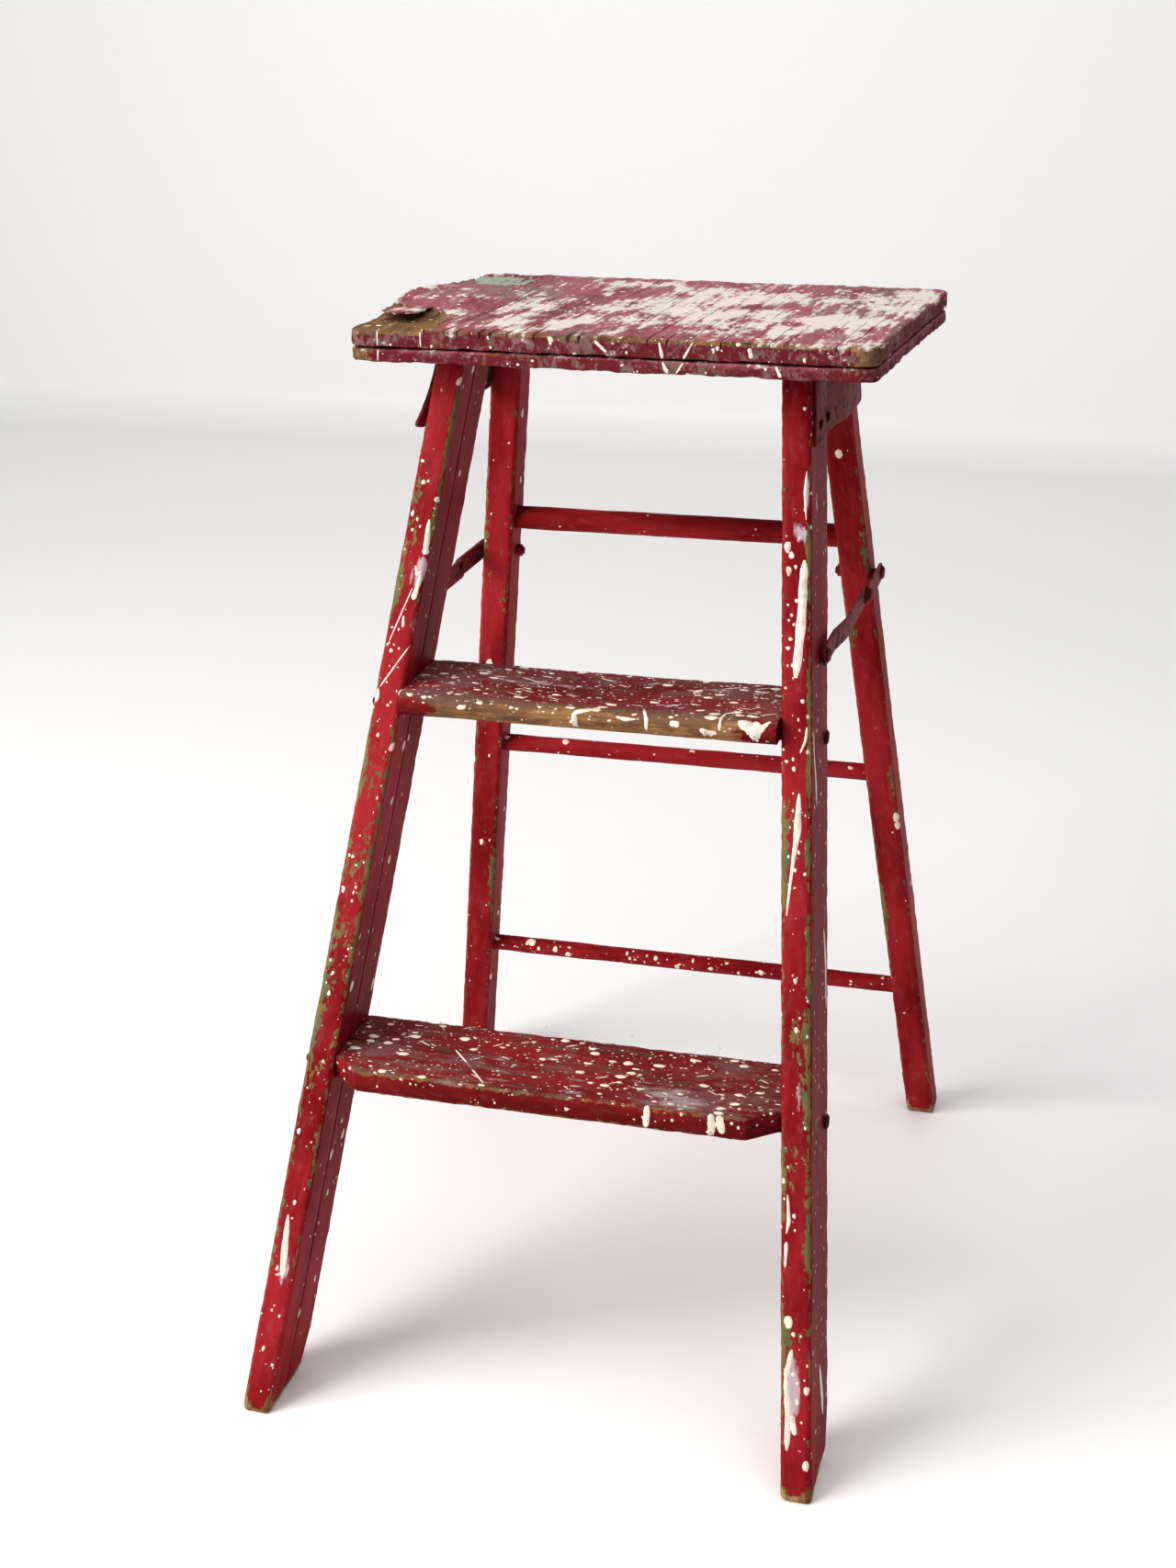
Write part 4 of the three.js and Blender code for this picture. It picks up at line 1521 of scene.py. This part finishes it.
@dataclass
class Studio:
    """The pale floor and wall, the lights and the camera."""

    eye: Vector = field(default_factory=lambda: Vector((0.4534, -1.7784, 1.1596)))
    yaw: float = math.radians(15.188)
    pitch: float = math.radians(-20.696)
    roll: float = math.radians(-0.416)
    lens: float = 67.26
    wall: float = 3.55

    def build(self) -> None:
        """Sets the stage round the ladder."""
        self.add_room()
        self.add_lights()
        self.add_camera()

    def add_room(self) -> None:
        """A floor that turns up into a wall behind the ladder."""
        bpy.ops.mesh.primitive_plane_add(size=1, location=(0, self.wall - 6, 0))
        room = bpy.context.object
        room.name = "studio_room"
        take(room)
        bpy.ops.transform.resize(value=(16, 12, 1))
        bpy.ops.object.transform_apply(location=True, rotation=True, scale=True)
        with Bench(room) as bench:
            bench.edges(lambda at, along: at.y > self.wall - 0.1)
            bpy.ops.mesh.extrude_region_move(TRANSFORM_OT_translate={"value": (0, 0, 5)})
            bench.edges(lambda at, along: at.y > self.wall - 0.1 and at.z < 0.1)
            bpy.ops.mesh.bevel(offset=0.12, segments=8)
        smooth(room, 60)
        room.data.materials.append(STUDIO.material())

    def add_lights(self) -> None:
        """A big soft window on the left, a weaker one overhead, and pale light from all round."""
        for name, place, size, power, tint in (
            ("window_light", (-2.6, -2.0, 2.3), 2.4, 124.0, (1.0, 0.99, 0.98)),
            ("ceiling_light", (0.2, -0.6, 3.4), 3.0, 34.0, (1.0, 1.0, 1.0)),
        ):
            bpy.ops.object.light_add(type="AREA", location=place)
            lamp = bpy.context.object
            lamp.name = name
            lamp.data.size = size
            lamp.data.energy = power
            lamp.data.color = tint
            aim = Vector((0, 0, 0.4)) - Vector(place)
            lamp.rotation_euler = aim.to_track_quat("-Z", "Y").to_euler()
        world = bpy.data.worlds.new("studio_air")
        world.use_nodes = True
        sky = world.node_tree.nodes["Background"]
        sky.inputs["Color"].default_value = (0.97, 0.985, 1.0, 1.0)
        sky.inputs["Strength"].default_value = 0.33
        bpy.context.scene.world = world
        bpy.context.scene.view_settings.view_transform = "Standard"
        bpy.context.scene.view_settings.look = "Medium High Contrast"

    def add_camera(self) -> None:
        """A camera at standing height, a little to the right, looking down at the steps."""
        ahead = Vector((-math.sin(self.yaw) * math.cos(self.pitch),
                        math.cos(self.yaw) * math.cos(self.pitch), math.sin(self.pitch)))
        level = Vector((ahead.y, -ahead.x, 0)).normalized()
        above = level.cross(ahead)
        right = level * math.cos(self.roll) + above * math.sin(self.roll)
        up = above * math.cos(self.roll) - level * math.sin(self.roll)
        turned = Matrix((right, up, -ahead)).transposed()
        bpy.ops.object.camera_add(location=self.eye, rotation=turned.to_euler())
        camera = bpy.context.object
        camera.name = "viewpoint"
        camera.data.sensor_fit = "HORIZONTAL"
        camera.data.sensor_width = 36
        camera.data.lens = self.lens
        camera.data.dof.use_dof = False
        camera.data.clip_end = 60
        bpy.context.scene.camera = camera


def spots(*rows: tuple[float, ...]) -> tuple[Spot, ...]:
    """Soft patches from rows of a centre, a reach and an amount, in millimetres."""
    return tuple(Spot(tuple(v * MM for v in row[:3]), tuple(v * MM for v in row[3:6]), row[6])
                 for row in rows)


STILE_WEAR = {
    Side.LEFT: Wear(
        green=spots(
            (25, 0, 785, 3, 8, 34, 0.9), (25, 0, 712, 3, 7, 22, 0.8), (7, 0, 742, 5, 6, 26, 0.75),
            (10, 0, 690, 6, 6, 34, 0.85), (5, 0, 650, 5, 6, 22, 0.7), (10, 0, 520, 12, 4, 50, 0.6),
            (13, 0, 430, 12, 4, 60, 0.62), (10, 0, 330, 12, 4, 70, 0.64), (12, 0, 235, 10, 4, 40, 0.5),
            (10, 0, 130, 10, 4, 60, 0.45)),
        smeared=spots((22, 0, 672, 6, 5, 12, 0.9), (24, 0, 625, 5, 5, 22, 0.6), (14, 0, 120, 7, 5, 30, 0.6)),
        # Painted shade on the stile beside the lower step.
        dark=spots((12, 60, 290, 40, 60, 60, 0.6))),
    Side.RIGHT: Wear(
        green=spots(
            (1, 0, 700, 3.5, 2.5, 22, 0.9), (1, 0, 655, 3, 2.5, 22, 0.4), (1, 0, 602, 3, 2.5, 24, 0.55),
            (1, 0, 548, 3.5, 2.5, 20, 0.4), (12, 0, 520, 7, 4, 26, 0.75), (5, 0, 480, 4, 3, 20, 0.5),
            (20, 0, 470, 6, 4, 34, 0.78), (3, 0, 420, 4, 3, 18, 0.3), (10, 0, 340, 9, 4, 50, 0.8),
            (5, 0, 290, 4, 3, 18, 0.4), (14, 0, 235, 9, 4, 36, 0.8), (4, 0, 180, 5, 3, 20, 0.4),
            (16, 0, 110, 9, 4, 40, 0.75), (0, 45, 238, 3, 20, 20, 0.85), (0, 58, 196, 3, 13, 18, 0.85),
            (0, 28, 268, 3, 12, 16, 0.75), (0, 40, 330, 3, 20, 30, 0.5)),
        rubbed=spots((1, 0, 560, 2.5, 4, 40, 0.35), (2, 0, 400, 3, 4, 40, 0.3), (3, 0, 200, 3, 4, 40, 0.3)),
        smeared=spots(
            (4, 0, 746, 3, 4, 16, 0.6), (9, 0, 716, 8, 4, 9, 0.66), (6, 0, 702, 3, 4, 12, 0.6),
            (0, 22, 520, 4, 7, 24, 0.75), (0, 14, 560, 4, 4, 20, 0.6), (0, 25, 735, 4, 4, 9, 0.6),
            (15, 0, 90, 8, 5, 40, 0.85), (0, 70, 385, 4, 10, 30, 0.6), (12, 0, 300, 8, 5, 24, 0.5)),
        # Painted shade down the outer face.
        dark=spots((0, 55, 250, 10, 26, 18, 0.9), (0, 50, 420, 6, 60, 500, 0.5))),
}
LEG_WEAR = Wear(
    green=spots((6, 0, 640, 5, 6, 30, 0.7), (10, 0, 590, 4, 5, 18, 0.8), (20, 0, 560, 5, 5, 18, 0.7),
                (8, 0, 400, 6, 6, 40, 0.6), (24, 0, 250, 5, 6, 40, 0.65)),
    drops=0.12)
LEFT_STILE_FRONT = Splash(
    runs=(((20, 711, 1.6), (21.6, 690, 2.2), (22, 683, 2.6)), ((22, 667, 1.6), (19, 647, 2.6)),
          ((15, 674, 0.9), (18.5, 667, 1.3), (22.4, 670, 1.0)), ((16.4, 656, 0.5), (4.2, 612, 0.6)),
          ((23.5, 611, 0.6), (3.9, 577, 0.7)), ((13, 634, 0.8), (14.5, 625, 1.3)),
          ((9.5, 158, 1.8), (11.5, 135, 2.8), (14.5, 108, 2.6))),
    drops=((8.8, 740, 2.0), (12.9, 741, 1.4), (23.2, 727, 2.0, 1.2), (22.6, 720, 1.0), (4.1, 715, 1.6, 1.7),
           (13, 705, 1.1), (7.7, 606, 1.7), (14.3, 608, 1.0), (4.8, 612, 0.9), (23.6, 573, 2.2, 1.6),
           (2.5, 570, 2.4, 2.4)),
    strewn=(Strewn(60, (2, 20), (23, 560), 1.3), Strewn(16, (2, 560), (23, 780), 0.8)))
RIGHT_STILE_FRONT = Splash(
    runs=(((5.4, 697, 2.6), (6.4, 680, 3.7), (7.8, 655, 3.9), (10.2, 630, 3.5), (12.8, 608, 3.9)),
          ((3.6, 764, 0.6), (5.4, 748, 1.0), (4.2, 727, 0.6)),
          ((9, 552, 0.7), (4.6, 562, 1.1), (3.4, 572, 0.7)),
          ((9.8, 522, 2.0), (10.6, 506, 2.6), (11.4, 492, 3.0), (13.6, 478, 1.7), (17, 455, 1.0),
           (20.2, 430, 1.1)),
          ((21, 171, 1.0), (20, 190, 1.5)), ((19, 225, 0.9), (18, 205, 1.6), (20, 196, 0.8)),
          ((15.3, 112, 1.5), (20.5, 91, 2.6)), ((20.5, 92, 2.4), (18.2, 64, 3.0), (19.7, 38, 2.2)),
          ((16, 64, 3.4), (13, 50, 1.8))),
    drops=((19.5, 706, 3.0, 1.5), (16.2, 700, 2.4, 1.2), (18.4, 688, 2.4, 1.6), (12, 666, 1.6),
           (16, 655, 1.4), (18.3, 651, 1.2), (14.2, 648, 1.2), (17, 637, 1.8, 0.8), (19, 630, 2.0, 0.8),
           (7, 591, 1.8), (10.5, 577, 1.0, 1.6)),
    strewn=(Strewn(70, (2, 20), (23, 600), 1.4), Strewn(14, (2, 600), (23, 790), 0.9)))
RIGHT_STILE_SIDE = Splash(
    runs=(((14, 566, 0.8), (16, 545, 1.4), (24, 520, 1.8), (27, 505, 1.2)),
          ((62, 400, 1.6), (72, 372, 2.6), (74, 335, 1.4)), ((44, 80, 2.0), (50, 58, 4.4), (58, 36, 2.6)),
          ((27, 742, 0.7), (28, 728, 1.1))),
    strewn=(Strewn(30, (8, 20), (76, 600), 0.9),), thick=0.2)
UPPER_NOSE = Splash(
    runs=(((13, 13, 1.4), (8, 6, 2.8), (-3, 1, 3.2), (-8, -3, 2.2)),
          ((-8, -2, 2.2), (-7, -10, 2.4), (-6, -16, 1.8)),
          ((48, 16, 0.9), (51, 6, 1.3), (54, -4, 1.5), (54, -14, 1.8)), ((128, 22, 1.0), (117, 18, 1.5)),
          ((117, 18, 1.2), (115, 4, 1.0), (115, -9, 1.3)),
          ((130, 4, 3.2), (137, -1, 6.0), (144, -7, 6.4), (146, -16, 2.6)),
          ((156, 7, 1.0), (152, 0, 2.4), (148, -7, 3.4)), ((144, 5, 2.4), (146, -3, 4.6), (147, -11, 3.2)),
          ((99, -9, 2.0), (105, -12, 3.0), (113, -11, 1.8)), ((28, -3, 1.6), (36, -5, 2.2), (45, -4, 1.2))),
    drops=((-152, 4, 2.8), (-139, 2, 2.6), (-134, 3, 1.8), (-90, 1, 3.2), (-62, -2, 2.0), (-57, -3, 1.6),
           (-38, 2, 1.8), (-24, 1, 1.3), (74, 2, 2.2), (78, 6, 1.6), (-120, 14, 2.2)),
    thick=0.22)
UPPER_TREAD = Splash(strewn=(Strewn(150, (-158, 14), (158, 100), 1.0, (0.3, 0.9)),))
LOWER_NOSE = Splash(
    runs=(((-84, 40, 0.7), (-70, 24, 0.9), (-56, 6, 0.8)), ((85, 3, 2.2), (85, -8, 3.0), (84, -19, 2.0)),
          ((138, 2, 2.6), (139, -10, 3.6), (138, -21, 2.0)),
          ((145, 1, 3.0), (146, -8, 3.8), (148, -16, 2.2))),
    thick=0.25)
LOWER_TREAD = Splash(
    drops=((-95, 78, 5.0, 0.7), (-10, 96, 4.2, 0.7), (-20, 60, 3.2, 0.7), (52, 70, 4.6, 0.7),
           (105, 88, 3.6, 0.7), (30, 30, 2.6, 0.7)),
    strewn=(Strewn(190, (-186, 6), (186, 120), 1.2, (0.5, 1.1)),))
LOWER_NOSE_DROPS = Splash(strewn=(Strewn(30, (-180, -18), (180, 2), 1.4),))
UPPER_BOARD_FRONT = Splash(
    runs=(((-198, -1, 0.6), (-198, -15, 0.5)), ((-160, 0, 0.6), (-160, -14, 0.7)),
          ((44, -2, 0.8), (47, -15, 1.6)), ((-10, -3, 1.2), (0, -12, 1.4)), ((72, -1, 0.7), (64, -15, 0.9)),
          ((118, -4, 1.6), (120, -12, 1.8)), ((-48, -2, 1.0), (-47, -8, 1.2))),
    strewn=(Strewn(20, (-205, -15), (205, -1), 1.1),), thick=0.25)
UPPER_BOARD_TOP = Splash(strewn=(Strewn(110, (-150, -150), (205, 150), 1.6, (0.8, 2.4)),))
LOWER_BOARD_FRONT = Splash(
    runs=(((-198, 0, 0.5), (-198, -10, 0.5)), ((47, -1, 1.0), (51, -10, 1.6)),
          ((64, -1, 0.9), (58, -10, 0.6)), ((140, -1, 1.2), (144, -9, 1.4))),
    strewn=(Strewn(16, (-205, -10), (205, 0), 1.0),), thick=0.25)
LOWER_RUNG = Splash(strewn=(Strewn(26, (-195, -4), (60, 6), 2.6), Strewn(14, (-195, -4), (195, 6), 1.4)))


# ---- The ladder's parts ----
@dataclass
class Stiles:
    """The two stiles, each with its own wear: more green on the left one, and tan edges on the right one."""

    half_foot: float = 245 * MM
    splay: float = 0.1
    front: float = -348.75 * MM
    rake: float = 0.42
    thick: float = 25 * MM
    depth: float = 85 * MM
    heel: float = 15 * MM

    def build(self) -> None:
        """Builds both stiles, and spills paint down their fronts and the right one's outer face."""
        left, right = (self.post(side) for side in Side)
        left_piece, right_piece = left.build(), right.build()
        spill = Spill(left_piece, FRONT, 5)
        spill.pour(left.front_face(), LEFT_STILE_FRONT)
        spill.finish()
        spill = Spill(right_piece, FRONT, 8)
        spill.pour(right.front_face(), RIGHT_STILE_FRONT)
        spill.pour(right.outer_face(), RIGHT_STILE_SIDE)
        spill.finish()

    def post(self, side: Side) -> Post:
        """The stile of one side, housed for the steps and bored for the rods and the spreader's bolt."""
        neighbours = ("step_lower", "step_upper", "tie_rod_lower", "tie_rod_upper",
                      f"spreader_front_bolt_{side.word}")
        return Post(f"stile_{side.word}", FRONT, side, self.half_foot, self.splay, self.front, self.rake,
                    self.thick, self.depth, neighbours, STILE_WEAR[side], grooved=True, heel=self.heel,
                    seed=0.31 * side.value + 1)


@dataclass
class RearFrame:
    """The rear legs and the three round rungs between them."""

    half_foot: float = 265 * MM
    splay: float = 0.123
    front: float = 311.25 * MM
    rake: float = -0.175
    thick: float = 28.5 * MM
    depth: float = 37.5 * MM
    rungs: tuple[tuple[str, float], ...] = (("rung_lower", 0.9), ("rung_middle", 0.5), ("rung_upper", 0.15))

    def build(self) -> None:
        """Builds the legs and the rungs, and spatters the lower rung."""
        for side in Side:
            neighbours = (*(name for name, _ in self.rungs), f"spreader_rear_bolt_{side.word}")
            Post(f"rear_leg_{side.word}", REAR, side, self.half_foot, self.splay, self.front, self.rake,
                 self.thick, self.depth, neighbours, LEG_WEAR, seed=0.47 * side.value + 3).build()
        pieces = [Rung(name, 9.0 + k, drops).build() for k, (name, drops) in enumerate(self.rungs)]
        low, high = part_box("rung_lower")
        front = Face(Vector((0, low.y, (low.z + high.z) / 2)), Vector((1, 0, 0)), Vector((0, 0, 1)),
                     Vector((0, -1, 0)))
        spill = Spill(pieces[0], REAR, 43)
        spill.pour(front, LOWER_RUNG)
        spill.finish()


@dataclass
class Steps:
    """The two steps, which feet have worn and paint has dripped on."""

    housing: float = 20 * MM

    def build(self) -> None:
        """Builds both steps, and spills paint over their noses and treads."""
        upper = Step("step_upper", clip=(7 * MM, 11 * MM), housing=self.housing, nose_round=9 * MM,
                     dish=3.0 * MM, shoulder=161.65 * MM, rubbed=1.0, seed=6.1, film=0.56,
                     smeared=spots((-40, -60, 577, 70, 22, 12, 0.35), (80, -70, 577, 60, 22, 12, 0.3)))
        spill = Spill(upper.build(), FRONT, 12)
        spill.pour(upper.nose_face(), UPPER_NOSE)
        spill.pour(upper.tread_face(), UPPER_TREAD)
        spill.flick(upper.tread_face(), 60, (-150, 14), (150, 96), longest=13, lean=0.8)
        spill.finish()
        lower = Step("step_lower", clip=(24 * MM, 18 * MM), housing=self.housing, nose_round=3 * MM,
                     dish=1.2 * MM, shoulder=190.95 * MM, rubbed=0.14, seed=5.2, film=0.42,
                     smeared=spots((-60, -230, 284, 40, 30, 12, 0.22), (90, -215, 284, 60, 30, 12, 0.25)))
        spill = Spill(lower.build(), FRONT, 21)
        spill.pour(lower.nose_face(), LOWER_NOSE)
        spill.pour(lower.tread_face(), LOWER_TREAD)
        spill.pour(lower.nose_face(), LOWER_NOSE_DROPS)
        spill.flick(lower.tread_face(), 34, (-180, 8), (180, 110), longest=10, lean=0.9)
        spill.finish()


class Top:
    """The two boards of the top, the upper one cracked and torn, and the loose veneer on it."""

    def build(self) -> None:
        """Builds the boards and the veneer, and spills paint over them."""
        lower = TopBoard("top_board_lower", 7.7, rubbed=spots((-221, -169, 848, 13, 13, 13, 1.2)))
        upper = TopBoard(
            "top_board_upper", 8.3, cracks=27, front_notches=(-106.0, -97.0, -31.0, -22.0), bulge=12 * MM,
            torn=(((-230, -175), (-226, -136), (-232, -60), (-180, -70), (-162, -97), (-151, -156),
                   (-160, -175)),
                  ((19, 161), (24, 172), (37, 172), (33, 164)),
                  ((126, 163), (128, 172), (139, 172), (137, 165))),
            minty=((-219, 114), (-224, 160), (-160, 156), (-158, 103), (-190, 92), (-212, 86)),
            pale=spots((30, 0, 870, 50, 110, 20, 0.32), (-40, 130, 870, 50, 24, 20, 0.3),
                       (150, -60, 870, 70, 90, 20, 0.2), (-90, -115, 870, 60, 34, 20, 0.24),
                       (-120, 20, 870, 40, 40, 20, 0.12), (80, 90, 870, 50, 40, 20, 0.22),
                       (200, 60, 870, 40, 90, 20, 0.24), (-70, -40, 870, 60, 60, 20, 0.14)),
            dirty=spots((180, 30, 870, 60, 150, 20, 0.35), (-150, 50, 870, 50, 50, 20, 0.35)),
            rubbed=spots((214, -160, 862, 12, 14, 14, 0.9), (-215, -165, 868, 12, 6, 6, 0.9)))
        lower_piece, upper_piece = lower.build(), upper.build()
        Flake(upper).build()
        spill = Spill(upper_piece, FRONT, 31)
        spill.pour(upper.front_face(), UPPER_BOARD_FRONT)
        spill.pour(upper.top_face(), UPPER_BOARD_TOP)
        spill.finish()
        spill = Spill(lower_piece, FRONT, 37)
        spill.pour(lower.front_face(), LOWER_BOARD_FRONT)
        spill.finish()


class Fasteners:
    """Every strap, bolt, nut, washer and screw."""

    def build(self) -> None:
        """Builds them side by side, and then the tie rods."""
        pieces = [piece for side in Side for piece in self.of_side(side)]
        for level in ("lower", "upper"):
            pieces += [Hardware(f"tie_rod_{level}", FRONT, DARK_STEEL, 0.4 * MM),
                       Hardware(f"rod_washer_{level}", FRONT, DARK_STEEL, 0.3 * MM),
                       Hardware(f"rod_nut_{level}", FRONT, DARK_STEEL, 0.5 * MM)]
        for piece in pieces:
            piece.build()

    @staticmethod
    def of_side(side: Side) -> list[Hardware]:
        """The hinge, the spreader and the screws of one side.

        Args:
            side: the side.
        Returns:
            The hardware, not yet built.
        """
        word = side.word
        rows = [("spreader_front_link", f"front_link_{word}", RED_STEEL, 0.5),
                ("spreader_rear_link", f"rear_link_{word}", RED_STEEL, 0.5),
                ("spreader_rivet_head", f"rear_link_{word}", RED_STEEL, 0.3),
                ("spreader_rivet_tail", f"front_link_{word}", RED_STEEL, 0.3),
                ("spreader_front_bolt", FRONT, RED_STEEL, 0.3), ("spreader_collar", FRONT, RED_STEEL, 0.3),
                ("spreader_rear_bolt", REAR, RED_STEEL, 0.3), ("spreader_rear_nut", REAR, PAINTED_NUT, 0.5),
                ("hinge_bolt", FRONT, DARK_STEEL, 0.4), ("hinge_nut", FRONT, DARK_STEEL, 0.4)]
        bent = 9 * MM if side is Side.LEFT else 0.0
        found = [Hardware(f"hinge_plate_{word}", FRONT, RED_STEEL, 0.6 * MM, bent=bent)]
        found += [Hardware(f"{name}_{word}", body, finish, soften * MM)
                  for name, body, finish, soften in rows]
        found += [Hardware(f"plate_screw_{word}_{k}", FRONT, RED_STEEL, 0.2 * MM, 0, side.value)
                  for k in (1, 2, 3)]
        return found + [Hardware(f"board_screw_{word}_{k}", FRONT, DARK_STEEL, 0.2 * MM, 2) for k in (1, 2)]


def main() -> None:
    """Builds the ladder's parts in order, and the studio round them."""
    logging.basicConfig(level=logging.INFO, format="%(name)s: %(message)s")
    for part in (Stiles(), RearFrame(), Steps(), Top(), Fasteners(), Studio()):
        part.build()


if __name__ == "__main__":
    main()
